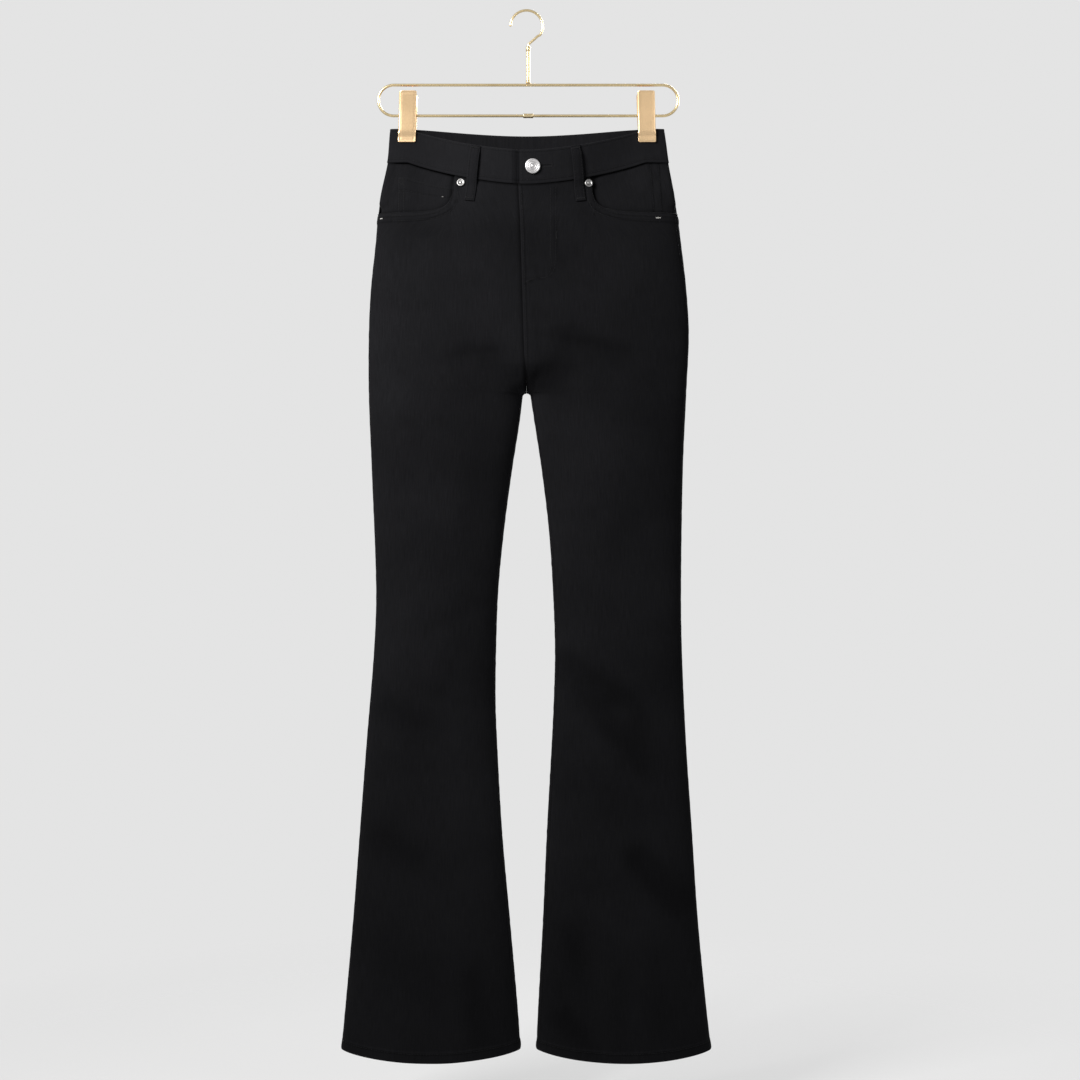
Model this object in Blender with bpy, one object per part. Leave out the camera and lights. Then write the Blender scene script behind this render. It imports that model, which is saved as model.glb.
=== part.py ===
"""Bootcut five-pocket jeans, hung flat by two clips from a wire trouser hanger.

Units are metres, +Z is up, the garment's front faces -Y. The origin is the inside top of the hook,
where a rail carries it. Left and right are the wearer's: the right leg is at -X.

The cloth is read from one nested family of surfaces. A place on it has a leg, a face (front or back),
`u` across the face from the outseam (0) to the inseam or the middle of the body (1), `down` along the
cloth from the waist's top edge, and `lift`, how far it stands outside the plain cloth's outer surface.
"""

import math
from typing import NamedTuple

import bmesh
import bpy
from mathutils import Matrix, Vector

# ---- driving dimensions of the garment -------------------------------------------------------------
WAIST_Z = -0.1375  # the waist's top edge at the sides
CENTRE_X = -0.0019  # the garment hangs this far off the hanger's middle
BAND_HEIGHT = 0.040
CROTCH_DOWN = 0.309
HEM_DOWN = 1.075
HEM_BOW = 0.010  # the hem hangs this much lower in the middle of each face
HEM_TURN = 0.012
FRONT_DIP = 0.029  # the front of the waist hangs this much below its sides
BACK_DIP = 0.004
DIP_HALF_SPAN = 0.139  # half the distance between the clips
DIP_POWER = 1.65
DIP_ENDS_DOWN = 0.122  # below this the cloth's rows are level again
FRONT_LENS = 0.024  # how far the waist bows open between the clips
BACK_LENS = 0.022
LENS_HALF_SPAN = 0.126
LENS_POWER = 1.5
PINCH_HALF_DEPTH = 0.0033  # under the clips
PINCH_ENDS_DOWN = (0.018, 0.125)
FRONT_CREASE = 0.032  # height of the crease where the legs part
BACK_CREASE = 0.045
CROTCH_ARCH = 0.003  # the legs part as a round arch this tall
FLY_TOP_X = -0.0100  # the lapped edge leans from here at the waist to the middle at the crotch

# ---- cloth and seams -------------------------------------------------------------------------------
SEAM_GAP = 0.0003
CLOTH = 0.0014
BAND_PROUD = 0.0006
BAND_CLOTH = 0.0026
TURN_PROUD = 0.0005
TURN_CLOTH = 0.0024
LAYER_GAP = 0.0005
POCKET_CLOTH = 0.0012

# ---- pockets, loops and trims ----------------------------------------------------------------------
MOUTH_POWER = 4.6
MOUTH_DEPTH = 0.062
RIGHT_MOUTH_X = -0.0895
LEFT_MOUTH_X = 0.0775
FACING_DOWN = BAND_HEIGHT + MOUTH_DEPTH + 0.016
FACING_REACH = 0.72  # how far across the face the facings go
COIN_X = (-0.1535, -0.0800)
COIN_DOWN = (0.0575, 0.1125)
YOKE_SIDE = 0.038
YOKE_MIDDLE = 0.068
BACK_POCKET_X = 0.082
BACK_POCKET_TOP = 0.122
BACK_POCKET_WIDTH = (0.122, 0.108)
BACK_POCKET_HEIGHT = (0.112, 0.132)  # at the edges and at the point
LOOP_WIDTH = 0.0115
LOOP_CLOTH = 0.0016
FRONT_LOOP_END = BAND_HEIGHT + 0.0350
BACK_LOOP_END = BAND_HEIGHT + 0.0240
BUTTON_X = 0.0052
BUTTON_DOWN = 0.0195
BUTTON_RADIUS = 0.0088
RIVET_RADIUS = 0.0047
RIVET_DOWN = 0.048
BAND_LAP_GAP = 0.0004
UNDERLAP_COLUMNS = 2  # the band's lower end runs this many columns on behind its upper one

# ---- hanger ----------------------------------------------------------------------------------------
WIRE_RADIUS = 0.00165
HOOK_WIRE_RADIUS = 0.00145
HOOK_RADIUS = 0.0188
HOOK_CENTRE = (-0.0020, -HOOK_RADIUS + HOOK_WIRE_RADIUS)
TOP_BAR_Z = -0.0860
BOTTOM_BAR_Z = -0.1220
LOOP_HALF_LENGTH = 0.1753
STEM_TOP_Z = -0.0410
STEM_RADIUS = 0.00265
FERRULE_LENGTH = 0.0120
FERRULE_RADIUS = 0.00270
CLIP_X = (-0.1408, 0.1381)
CLIP_WIDTH = 0.0205
CLIP_TOP_Z = -0.0949
CLIP_FOOT_Z = -0.1535
CLIP_METAL = 0.0012
CLIP_HEAD_Y = 0.0105  # inner face of each plate at the top
JAW_Y = 0.0036  # inner face of each plate at the jaw
CLIP_ROLL = 0.0010  # how far the side edges turn in
FRONT_EAR_X = 0.0086  # the front plate's ears stand just outside the back plate's
BACK_EAR_X = 0.0073
EAR_METAL = 0.0009
EAR_RADIUS = 0.0034
EAR_BASE_Y = 0.0069
CLIP_SPLAY = math.radians(1.8)
SPRING_RADIUS = 0.0040
SPRING_LENGTH = 0.0120

RIGHT, LEFT = -1, 1
FRONT, BACK = -1, 1


class Outseam(NamedTuple):
    """Where the outer edges run: distance down, then x of the right and the left leg."""

    down: float
    right: float
    left: float


class Inseam(NamedTuple):
    """Where the inner edges run, from the crotch to the hem."""

    down: float
    right: float
    left: float


class Depth(NamedTuple):
    """Half depth of the tube, front and back, and how pointed its edges are (1 is an ellipse)."""

    down: float
    front: float
    back: float
    power: float


class Fold(NamedTuple):
    """A soft trough (or a ridge where depth is negative) along a straight line on one face."""

    face: int
    x_from: float
    down_from: float
    x_to: float
    down_to: float
    half_width: float
    depth: float


class ClipBend(NamedTuple):
    """Where a clip's plate bends: height, how far its inner face is from the middle, its edges' turn."""

    z: float
    y: float
    roll: float


class LoopPlace(NamedTuple):
    """A belt loop: its face, and x at its top and bottom."""

    name: str
    face: int
    x_top: float
    x_bottom: float


OUTSEAM = (
    Outseam(0.000, -0.1610, 0.1585),
    Outseam(0.036, -0.1640, 0.1635),
    Outseam(0.083, -0.1735, 0.1720),
    Outseam(0.136, -0.1785, 0.1790),
    Outseam(0.188, -0.1840, 0.1850),
    Outseam(0.241, -0.1865, 0.1880),
    Outseam(0.309, -0.1865, 0.1850),
    Outseam(0.399, -0.1830, 0.1810),
    Outseam(0.539, -0.1780, 0.1790),
    Outseam(0.610, -0.1805, 0.1800),
    Outseam(0.715, -0.1890, 0.1847),
    Outseam(0.820, -0.1970, 0.1917),
    Outseam(0.925, -0.2050, 0.1987),
    Outseam(1.031, -0.2145, 0.2090),
    Outseam(1.090, -0.2200, 0.2160),
)
INSEAM = (
    Inseam(0.309, -0.0060, 0.0022),
    Inseam(0.346, -0.0107, 0.0080),
    Inseam(0.399, -0.0190, 0.0160),
    Inseam(0.469, -0.0283, 0.0243),
    Inseam(0.539, -0.0350, 0.0290),
    Inseam(0.610, -0.0376, 0.0314),
    Inseam(0.668, -0.0382, 0.0300),
    Inseam(0.715, -0.0365, 0.0278),
    Inseam(0.820, -0.0306, 0.0220),
    Inseam(0.925, -0.0213, 0.0173),
    Inseam(1.031, -0.0120, 0.0115),
    Inseam(1.090, -0.0080, 0.0090),
)
DEPTHS = (
    Depth(0.000, 0.027, 0.028, 0.40),
    Depth(0.060, 0.028, 0.030, 0.52),
    Depth(0.130, 0.028, 0.032, 0.70),
    Depth(0.240, 0.028, 0.034, 0.80),
    Depth(0.309, 0.030, 0.034, 0.85),
    Depth(0.400, 0.030, 0.031, 0.88),
    Depth(0.540, 0.025, 0.025, 0.90),
    Depth(0.720, 0.025, 0.024, 0.92),
    Depth(0.925, 0.028, 0.026, 0.95),
    Depth(1.090, 0.032, 0.029, 1.00),
)
FOLDS = (
    Fold(FRONT, 0.044, 0.626, 0.102, 0.677, 0.014, 0.0040),
    Fold(FRONT, 0.102, 0.677, 0.142, 0.739, 0.013, 0.0034),
    Fold(FRONT, 0.132, 0.853, 0.176, 0.897, 0.013, 0.0034),
    Fold(FRONT, 0.045, 1.040, 0.080, 1.068, 0.012, 0.0028),
    Fold(FRONT, 0.092, 0.985, 0.096, 1.060, 0.013, -0.0028),
    Fold(FRONT, 0.055, 0.935, 0.063, 0.975, 0.012, 0.0024),
    Fold(FRONT, 0.053, 0.251, 0.106, 0.263, 0.010, 0.0022),
    Fold(FRONT, 0.012, 0.297, 0.032, 0.280, 0.009, 0.0030),
    Fold(FRONT, -0.069, 0.262, -0.034, 0.268, 0.010, 0.0022),
    Fold(FRONT, -0.162, 0.677, -0.126, 0.698, 0.013, 0.0028),
    Fold(FRONT, -0.171, 0.828, -0.132, 0.853, 0.014, 0.0024),
    Fold(FRONT, -0.092, 0.345, -0.088, 0.455, 0.026, -0.0016),
    Fold(FRONT, -0.060, 0.990, -0.052, 1.062, 0.014, 0.0024),
    Fold(BACK, -0.050, 0.318, -0.120, 0.345, 0.013, 0.0036),
    Fold(BACK, 0.048, 0.322, 0.112, 0.343, 0.013, 0.0034),
    Fold(BACK, -0.060, 0.575, -0.128, 0.600, 0.013, 0.0030),
    Fold(BACK, 0.058, 0.560, 0.118, 0.602, 0.014, 0.0034),
    Fold(BACK, 0.052, 0.660, 0.130, 0.700, 0.015, 0.0030),
    Fold(BACK, -0.150, 0.760, -0.100, 0.800, 0.014, 0.0026),
    Fold(BACK, -0.086, 0.960, -0.076, 1.064, 0.015, 0.0028),
    Fold(BACK, 0.128, 0.940, 0.120, 1.064, 0.015, 0.0028),
)
BELT_LOOPS = (
    LoopPlace("belt_loop_front_right", FRONT, -0.0602, -0.0678),
    LoopPlace("belt_loop_front_left", FRONT, 0.0540, 0.0608),
    LoopPlace("belt_loop_back_right", BACK, -0.0860, -0.0890),
    LoopPlace("belt_loop_back_middle", BACK, CENTRE_X, CENTRE_X),
    LoopPlace("belt_loop_back_left", BACK, 0.0822, 0.0852),
)

FRONT_COLUMNS = (0.0, 0.08, 0.18, 0.29, 0.40, 0.50, 0.60, 0.68, 0.76, 0.84, 0.92, 1.0)
BACK_COLUMNS = (0.0, 0.08, 0.17, 0.27, 0.37, 0.47, 0.57, 0.67, 0.78, 0.89, 1.0)


# ---- reading the tables ----------------------------------------------------------------------------
def read(table, down, column):
    """A smooth curve through one column of a table, straight on past its ends."""
    rows = [(getattr(row, "down"), getattr(row, column)) for row in table]
    last = len(rows) - 1
    at = min(max(sum(1 for d, _ in rows if d <= down) - 1, 0), last - 1)

    def slope(i):
        low, high = rows[max(i - 1, 0)], rows[min(i + 1, last)]
        return (high[1] - low[1]) / (high[0] - low[0])

    (d0, v0), (d1, v1) = rows[at], rows[at + 1]
    step = d1 - d0
    t = (down - d0) / step
    if t < 0:
        return v0 + slope(at) * (down - d0)
    if t > 1:
        return v1 + slope(at + 1) * (down - d1)
    rise = t * t * (3 - 2 * t)
    return (
        v0 * (1 - rise)
        + v1 * rise
        + slope(at) * step * t * (1 - t) ** 2
        + slope(at + 1) * step * t * t * (t - 1)
    )


def smooth(low, high, value):
    """0 below low, 1 above high, and a soft step between them."""
    t = min(max((value - low) / (high - low), 0.0), 1.0)
    return t * t * (3 - 2 * t)


# ---- the cloth's surface ---------------------------------------------------------------------------
def dip(face, x):
    """How far the waist's top edge hangs below its sides."""
    reach = min(abs(x - CENTRE_X) / DIP_HALF_SPAN, 1.0)
    return (FRONT_DIP if face == FRONT else BACK_DIP) * (1 - reach**DIP_POWER)


def open_share(face, down):
    """1 where the body is one tube, falling to 0 at the crotch as the crease between the legs deepens."""
    crease = FRONT_CREASE if face == FRONT else BACK_CREASE
    t = min(max((CROTCH_DOWN - down) / crease, 0.0), 1.0)
    return math.sqrt(1 - (1 - t) ** 2)


def middle(face, down):
    """x of the centre front or centre back seam."""
    if face == BACK:
        return CENTRE_X
    t = min(max((down - BAND_HEIGHT) / (CROTCH_DOWN - BAND_HEIGHT), 0.0), 1.0)
    return FLY_TOP_X + (CENTRE_X - FLY_TOP_X) * t


def inner_edge(leg, face, down):
    """x of the inseam, or of the centre seam above the crotch."""
    if down <= CROTCH_DOWN:
        return middle(face, down)
    parted = math.sqrt(min((down - CROTCH_DOWN) / CROTCH_ARCH, 1.0))
    return CENTRE_X + (read(INSEAM, down, side_name(leg)) - CENTRE_X) * parted


def side_name(leg):
    return "right" if leg == RIGHT else "left"


def sweep(face, down):
    """The angle that u = 1 stands for: a half turn on a leg, a quarter turn on the body."""
    power = read(DEPTHS, down, "power")
    return math.pi - math.asin(min(open_share(face, down) ** (1 / power), 1.0))


def half_depth(face, x, down):
    """Half depth of the tube: a pinched lens at the waist, an oval lower down.

    The table gives the depth halfway across a leg, where an oval that spans the body is less deep.
    """
    halfway = math.sqrt(1 - ((1 + math.cos(sweep(face, down))) / 2) ** 2)
    oval = read(DEPTHS, down, "front" if face == FRONT else "back")
    oval /= halfway ** read(DEPTHS, down, "power")
    reach = min(abs(x - CENTRE_X) / LENS_HALF_SPAN, 1.0)
    bow = (FRONT_LENS if face == FRONT else BACK_LENS) - PINCH_HALF_DEPTH
    lens = PINCH_HALF_DEPTH + bow * (1 - reach * reach) ** LENS_POWER
    share = smooth(*PINCH_ENDS_DOWN, down)
    return lens * (1 - share) + oval * share


def fold_depth(face, x, down):
    """How far the folds push the cloth inward here."""
    total = 0.0
    for fold in FOLDS:
        if fold.face != face:
            continue
        run = Vector((fold.x_to - fold.x_from, fold.down_to - fold.down_from))
        start = Vector((x - fold.x_from, down - fold.down_from))
        t = min(max(start.dot(run) / run.length_squared, 0.0), 1.0)
        away = (start - run * t).length
        total += fold.depth * math.exp(-((away / fold.half_width) ** 2))
    return total


def cloth(leg, face, u, down, lift=0.0):
    """A point of the cloth."""
    turn = sweep(face, down)
    angle = turn * u
    outer = read(OUTSEAM, down, side_name(leg)) + leg * lift
    inner = inner_edge(leg, face, down) + leg * lift * math.cos(turn)
    x = outer + (inner - outer) * (1 - math.cos(angle)) / (1 - math.cos(turn))
    edge = max(math.sin(angle), 0.0)
    y = (half_depth(face, x, down) + lift) * edge ** read(DEPTHS, down, "power")
    y -= fold_depth(face, x, down) * edge
    level = 1 - smooth(BAND_HEIGHT, DIP_ENDS_DOWN, down)
    return Vector((x, face * y, WAIST_Z - down - dip(face, x) * level))


def across(leg, face, x, down):
    """The u at which the plain cloth has this x."""
    turn = sweep(face, down)
    outer = read(OUTSEAM, down, side_name(leg))
    share = (x - outer) / (inner_edge(leg, face, down) - outer)
    return math.acos(min(max(1 - share * (1 - math.cos(turn)), -1.0), 1.0)) / turn


def cloth_at(face, x, down, lift=0.0):
    """A point of the body's cloth, by x, above the crotch."""
    leg = RIGHT if x < middle(face, down) else LEFT
    return cloth(leg, face, across(leg, face, x, down), down, lift)


def outward(face, x, down):
    """The cloth's normal, pointing out."""
    step = 0.002
    along = cloth_at(face, x + step, down) - cloth_at(face, x - step, down)
    fall = cloth_at(face, x, down + step) - cloth_at(face, x, down - step)
    normal = along.cross(fall).normalized()
    return normal if normal.y * face > 0 else -normal


# ---- making objects --------------------------------------------------------------------------------
def material(name, colour, roughness, metallic):
    made = bpy.data.materials.new(name)
    made.use_nodes = True
    shader = made.node_tree.nodes["Principled BSDF"]
    shader.inputs["Base Color"].default_value = (*colour, 1.0)
    shader.inputs["Roughness"].default_value = roughness
    shader.inputs["Metallic"].default_value = metallic
    return made


def finish(name, bm, made_of, smooth_angle=math.radians(35)):
    """Turn a bmesh into a named object with its own material."""
    bmesh.ops.recalc_face_normals(bm, faces=bm.faces)
    mesh = bpy.data.meshes.new(name)
    bm.to_mesh(mesh)
    bm.free()
    mesh.shade_smooth()
    mesh.set_sharp_from_angle(angle=smooth_angle)
    mesh.materials.append(material(f"{name}_{made_of.name}", *made_of.look))
    made = bpy.data.objects.new(name, mesh)
    bpy.context.scene.collection.objects.link(made)
    return made


class Finish(NamedTuple):
    name: str
    look: tuple


DENIM = Finish("denim", ((0.012, 0.013, 0.016), 0.88, 0.0))
SILVER = Finish("silver", ((0.62, 0.62, 0.63), 0.30, 1.0))
GOLD = Finish("gold", ((0.78, 0.60, 0.34), 0.35, 1.0))
STEEL = Finish("steel", ((0.50, 0.46, 0.38), 0.40, 1.0))


def wall(name, outer, inner, made_of=DENIM):
    """A closed wall between two grids of points, each a list of columns."""
    bm = bmesh.new()
    sheets = [[[bm.verts.new(p) for p in column] for column in grid] for grid in (outer, inner)]
    columns, rows = len(outer), len(outer[0])
    for sheet in sheets:
        for i in range(columns - 1):
            for j in range(rows - 1):
                corners = (sheet[i][j], sheet[i + 1][j], sheet[i + 1][j + 1], sheet[i][j + 1])
                bm.faces.new(corners)
    around = (
        [(i, 0) for i in range(columns)]
        + [(columns - 1, j) for j in range(1, rows)]
        + [(i, rows - 1) for i in range(columns - 2, -1, -1)]
        + [(0, j) for j in range(rows - 2, 0, -1)]
    )
    for (i, j), (k, m) in zip(around, around[1:] + around[:1]):
        bm.faces.new((sheets[0][i][j], sheets[0][k][m], sheets[1][k][m], sheets[1][i][j]))
    return finish(name, bm, made_of)


def panel(name, leg, face, columns, rows_of, lifts_of):
    """A cut piece of cloth. rows_of gives a column's distances down, lifts_of its two faces' lifts."""
    grids = ([], [])
    for u in columns:
        downs = rows_of(u)
        for grid, which in zip(grids, (0, 1)):
            points = [cloth(leg, face, u, d, lifts_of(downs, j)[which]) for j, d in enumerate(downs)]
            grid.append([keep_clear(leg, face, p, d) for p, d in zip(points, downs)])
    return wall(name, *grids)


def keep_clear(leg, face, point, down):
    """Hold a panel's point half a gap away from the pieces across its seams."""
    half = SEAM_GAP / 2
    point.y = face * max(face * point.y, half)
    edge = middle(face, down) if down <= CROTCH_DOWN else CENTRE_X
    point.x = edge + leg * max(leg * (point.x - edge), half)
    return point


def spaced(start, end, count):
    """Count + 1 values from start to end."""
    return [start + (end - start) * i / count for i in range(count + 1)]


# ---- legs ------------------------------------------------------------------------------------------
def leg_rows(face, top, u):
    """A leg's distances down from its top edge to the hem, close together round the crotch."""
    level = DIP_ENDS_DOWN + 0.008
    crease = FRONT_CREASE if face == FRONT else BACK_CREASE
    parting = [CROTCH_DOWN - crease * share for share in (1.0, 0.55, 0.28, 0.11, 0.03, 0.0)]
    arch = [CROTCH_DOWN + CROTCH_ARCH * share for share in (0.25, 1.0, 3.5)]
    hem = HEM_DOWN + HEM_BOW * math.sin(math.pi * u) ** 2
    return (
        spaced(top, level, 4)
        + spaced(level, parting[0], 4)[1:-1]
        + parting
        + arch
        + spaced(arch[-1], 0.46, 4)[1:]
        + spaced(0.46, HEM_DOWN - 0.035, 16)[1:]
        + [hem - HEM_TURN - 0.002, hem - HEM_TURN, hem]
    )


def leg_lifts(downs, j):
    """The turned-up hem is two layers thick."""
    turned = j >= len(downs) - 2
    return (TURN_PROUD, TURN_PROUD - TURN_CLOTH) if turned else (0.0, -CLOTH)


def mouth_down(leg, u):
    """The front's top edge: the waist seam, cut away by the round pocket mouth."""
    seam = BAND_HEIGHT + SEAM_GAP
    mouth_x = RIGHT_MOUTH_X if leg == RIGHT else LEFT_MOUTH_X
    x = cloth(leg, FRONT, u, BAND_HEIGHT + MOUTH_DEPTH).x
    width = abs(read(OUTSEAM, BAND_HEIGHT + MOUTH_DEPTH, side_name(leg)) - mouth_x)
    share = min(max(leg * (x - mouth_x) / width, 0.0), 1.0)
    return seam + MOUTH_DEPTH * (1 - (1 - share) ** MOUTH_POWER) ** (1 / MOUTH_POWER)


def mouth_columns(leg):
    """Columns of a front, with a few set where the mouth turns."""
    mouth_x = RIGHT_MOUTH_X if leg == RIGHT else LEFT_MOUTH_X
    turn_at = across(leg, FRONT, mouth_x, BAND_HEIGHT + MOUTH_DEPTH)
    near = [turn_at - 0.085, turn_at - 0.035, turn_at - 0.010, turn_at]
    plain = [u for u in FRONT_COLUMNS if u < near[0] - 0.05 or u > turn_at + 0.04]
    return sorted(plain + near)


def front(leg):
    columns = mouth_columns(leg)
    name = f"front_{side_name(leg)}"
    return panel(name, leg, FRONT, columns, lambda u: leg_rows(FRONT, mouth_down(leg, u), u), leg_lifts)


def yoke_seam(leg, u):
    """The yoke is deeper at the centre back than at the side."""
    x = cloth(leg, BACK, u, BAND_HEIGHT + YOKE_SIDE).x
    width = abs(read(OUTSEAM, BAND_HEIGHT + YOKE_SIDE, side_name(leg)) - CENTRE_X)
    return BAND_HEIGHT + YOKE_MIDDLE + (YOKE_SIDE - YOKE_MIDDLE) * leg * (x - CENTRE_X) / width


def back(leg):
    def rows(u):
        return leg_rows(BACK, yoke_seam(leg, u) + SEAM_GAP, u)

    return panel(f"back_{side_name(leg)}", leg, BACK, BACK_COLUMNS, rows, leg_lifts)


def flat_lifts(outer, inner):
    return lambda downs, j: (outer, inner)


def yoke(leg):
    def rows(u):
        return spaced(BAND_HEIGHT + SEAM_GAP, yoke_seam(leg, u), 3)

    return panel(f"back_yoke_{side_name(leg)}", leg, BACK, BACK_COLUMNS, rows, flat_lifts(0.0, -CLOTH))


# ---- pockets ---------------------------------------------------------------------------------------
def layer_under(lift, thickness):
    """The two lifts of a layer that lies behind a surface of that lift."""
    return lift - LAYER_GAP, lift - LAYER_GAP - thickness


def facing(leg):
    """The cloth seen inside a pocket mouth, sewn into the waist and the outseam."""
    under_front = -CLOTH if leg == LEFT else layer_under(-CLOTH, POCKET_CLOTH)[1]
    columns = [u for u in mouth_columns(leg) if u < FACING_REACH] + [FACING_REACH]
    rows = spaced(BAND_HEIGHT + SEAM_GAP, FACING_DOWN, 4)
    lifts = flat_lifts(*layer_under(under_front, POCKET_CLOTH))
    return panel(f"hip_facing_{side_name(leg)}", leg, FRONT, columns, lambda u: rows, lifts)


def patch(name, face, x_of, downs_of, lift, thickness, columns=6):
    """A patch laid on the body: x_of(share) and downs_of(share) give each column's x and rows."""
    outer, inner = [], []
    for share in spaced(0.0, 1.0, columns):
        downs = downs_of(share)
        outer.append([cloth_at(face, x_of(share, d), d, lift + thickness) for d in downs])
        inner.append([cloth_at(face, x_of(share, d), d, lift) for d in downs])
    return wall(name, outer, inner)


def coin_pocket():
    """It lies on the right facing and runs on behind the front's mouth."""
    lift = layer_under(-CLOTH, POCKET_CLOTH)[1]

    def x_of(share, down):
        return COIN_X[0] + (COIN_X[1] - COIN_X[0]) * share

    return patch("coin_pocket", FRONT, x_of, lambda share: spaced(*COIN_DOWN, 3), lift, POCKET_CLOTH, 8)


def back_pocket(leg):
    """A plain five-sided patch, narrower towards its point."""
    side, point = BACK_POCKET_HEIGHT
    slant = -leg * 0.006

    def width(down):
        t = (down - BACK_POCKET_TOP) / side
        return BACK_POCKET_WIDTH[0] + (BACK_POCKET_WIDTH[1] - BACK_POCKET_WIDTH[0]) * min(t, 1.0)

    def x_of(share, down):
        return CENTRE_X + leg * BACK_POCKET_X + (share - 0.5) * width(down)

    def downs_of(share):
        tilt = slant * (share - 0.5)
        height = side + (point - side) * (1 - abs(share - 0.5) * 2)
        return spaced(BACK_POCKET_TOP + tilt, BACK_POCKET_TOP + tilt + height, 5)

    return patch(f"back_pocket_{side_name(leg)}", BACK, x_of, downs_of, LAYER_GAP, POCKET_CLOTH)


# ---- waistband and belt loops ----------------------------------------------------------------------
def waistband():
    """One strip round the waist. Its right end steps in and runs behind its left end."""
    lapped = BAND_PROUD - BAND_CLOTH - BAND_LAP_GAP
    stations = [(LEFT, FRONT, u, BAND_PROUD) for u in reversed(mouth_columns(LEFT))]
    stations += [(LEFT, BACK, u, BAND_PROUD) for u in BACK_COLUMNS[1:]]
    stations += [(RIGHT, BACK, u, BAND_PROUD) for u in reversed(BACK_COLUMNS[:-1])]
    right = mouth_columns(RIGHT)[1:]
    stations += [(RIGHT, FRONT, u, BAND_PROUD) for u in right[:-2]]
    stations += [(RIGHT, FRONT, u, lapped) for u in right[-2:]]
    stations += [(LEFT, FRONT, u, lapped) for u in reversed(FRONT_COLUMNS[-UNDERLAP_COLUMNS - 1 : -1])]
    downs = (0.0, BAND_HEIGHT / 2, BAND_HEIGHT)
    outer = [[cloth(leg, face, u, d, lift) for d in downs] for leg, face, u, lift in stations]
    inner = [[cloth(leg, face, u, d, lift - BAND_CLOTH) for d in downs] for leg, face, u, lift in stations]
    return wall("waistband", outer, inner)


def belt_loop(place):
    """A strap over the band, sewn down at both ends and slack between them."""
    end = FRONT_LOOP_END if place.face == FRONT else BACK_LOOP_END
    rise = (
        (0.0008, 0.0004),
        (0.0060, 0.0004),
        (0.0120, 0.0022),
        (0.0260, 0.0026),
        (0.0400, 0.0022),
        (0.0490, 0.0004 - BAND_PROUD),
        (end, 0.0004 - BAND_PROUD),
    )
    outer, inner = [], []
    for share in (-0.5, 0.0, 0.5):
        sheets = ([], [])
        for down, clear in rise:
            x = place.x_top + (place.x_bottom - place.x_top) * down / end + share * LOOP_WIDTH
            sheets[0].append(cloth_at(place.face, x, down, BAND_PROUD + clear + LOOP_CLOTH))
            sheets[1].append(cloth_at(place.face, x, down, BAND_PROUD + clear))
        outer.append(sheets[0])
        inner.append(sheets[1])
    return wall(place.name, outer, inner)


# ---- button and rivets -----------------------------------------------------------------------------
def turned(name, profile, place, axis, made_of, segments):
    """A turned piece: profile holds radius and height above its foot, axis its own up."""
    bm = bmesh.new()
    points = [bm.verts.new((radius, 0.0, height)) for radius, height in profile]
    edges = [bm.edges.new(pair) for pair in zip(points, points[1:])]
    bmesh.ops.spin(
        bm, geom=points + edges, cent=(0, 0, 0), axis=(0, 0, 1), angle=math.tau, steps=segments, use_duplicate=False
    )
    bmesh.ops.remove_doubles(bm, verts=bm.verts, dist=1e-6)
    bm.transform(Matrix.Translation(place) @ Vector((0, 0, 1)).rotation_difference(axis).to_matrix().to_4x4())
    return finish(name, bm, made_of)


def button():
    """A domed jeans button with plain rings."""
    profile = (
        (0.0, 0.0),
        (BUTTON_RADIUS * 0.80, 0.0),
        (BUTTON_RADIUS * 0.97, 0.0009),
        (BUTTON_RADIUS, 0.0017),
        (BUTTON_RADIUS * 0.94, 0.0024),
        (BUTTON_RADIUS * 0.82, 0.0025),
        (BUTTON_RADIUS * 0.76, 0.0019),
        (BUTTON_RADIUS * 0.52, 0.0019),
        (BUTTON_RADIUS * 0.46, 0.0025),
        (BUTTON_RADIUS * 0.26, 0.0033),
        (0.0, 0.0037),
    )
    normal = outward(FRONT, BUTTON_X, BUTTON_DOWN)
    place = cloth_at(FRONT, BUTTON_X, BUTTON_DOWN, BAND_PROUD) + normal * 0.0006
    return turned("button", profile, place, normal, SILVER, 24)


def rivet(name, x):
    """A capped rivet with a small nub."""
    profile = (
        (0.0, 0.0),
        (RIVET_RADIUS * 0.92, 0.0),
        (RIVET_RADIUS, 0.0006),
        (RIVET_RADIUS * 0.86, 0.0012),
        (RIVET_RADIUS * 0.60, 0.0010),
        (RIVET_RADIUS * 0.50, 0.0008),
        (RIVET_RADIUS * 0.34, 0.0015),
        (0.0, 0.0018),
    )
    normal = outward(FRONT, x, RIVET_DOWN)
    place = cloth_at(FRONT, x, RIVET_DOWN) + normal * 0.0007
    return turned(name, profile, place, normal, SILVER, 16)


# ---- hanger ----------------------------------------------------------------------------------------
def tube(name, path, radius, made_of, sides=10, closed=False):
    """A round wire along a path that lies in the plane y = 0."""
    bm = bmesh.new()
    count = len(path)
    rings = []
    for i, point in enumerate(path):
        before = path[i - 1] if closed or i else point
        after = path[(i + 1) % count] if closed or i < count - 1 else point
        along = (after - before).normalized()
        beside = Vector((along.z, 0.0, -along.x))
        ring = []
        for k in range(sides):
            angle = math.tau * k / sides
            ring.append(bm.verts.new(point + radius * (beside * math.cos(angle) + Vector((0, math.sin(angle), 0)))))
        rings.append(ring)
    joins = list(zip(rings, rings[1:])) + ([(rings[-1], rings[0])] if closed else [])
    for low, high in joins:
        for k in range(sides):
            bm.faces.new((low[k], low[(k + 1) % sides], high[(k + 1) % sides], high[k]))
    if not closed:
        bm.faces.new(rings[0])
        bm.faces.new(rings[-1])
    return finish(name, bm, made_of)


def arc(centre, radius, start, end, count):
    """Points of a circle in the plane y = 0, angles in degrees from +X towards +Z."""
    angles = [math.radians(a) for a in spaced(start, end, count)]
    return [Vector((centre[0] + radius * math.cos(a), 0.0, centre[1] + radius * math.sin(a))) for a in angles]


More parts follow.
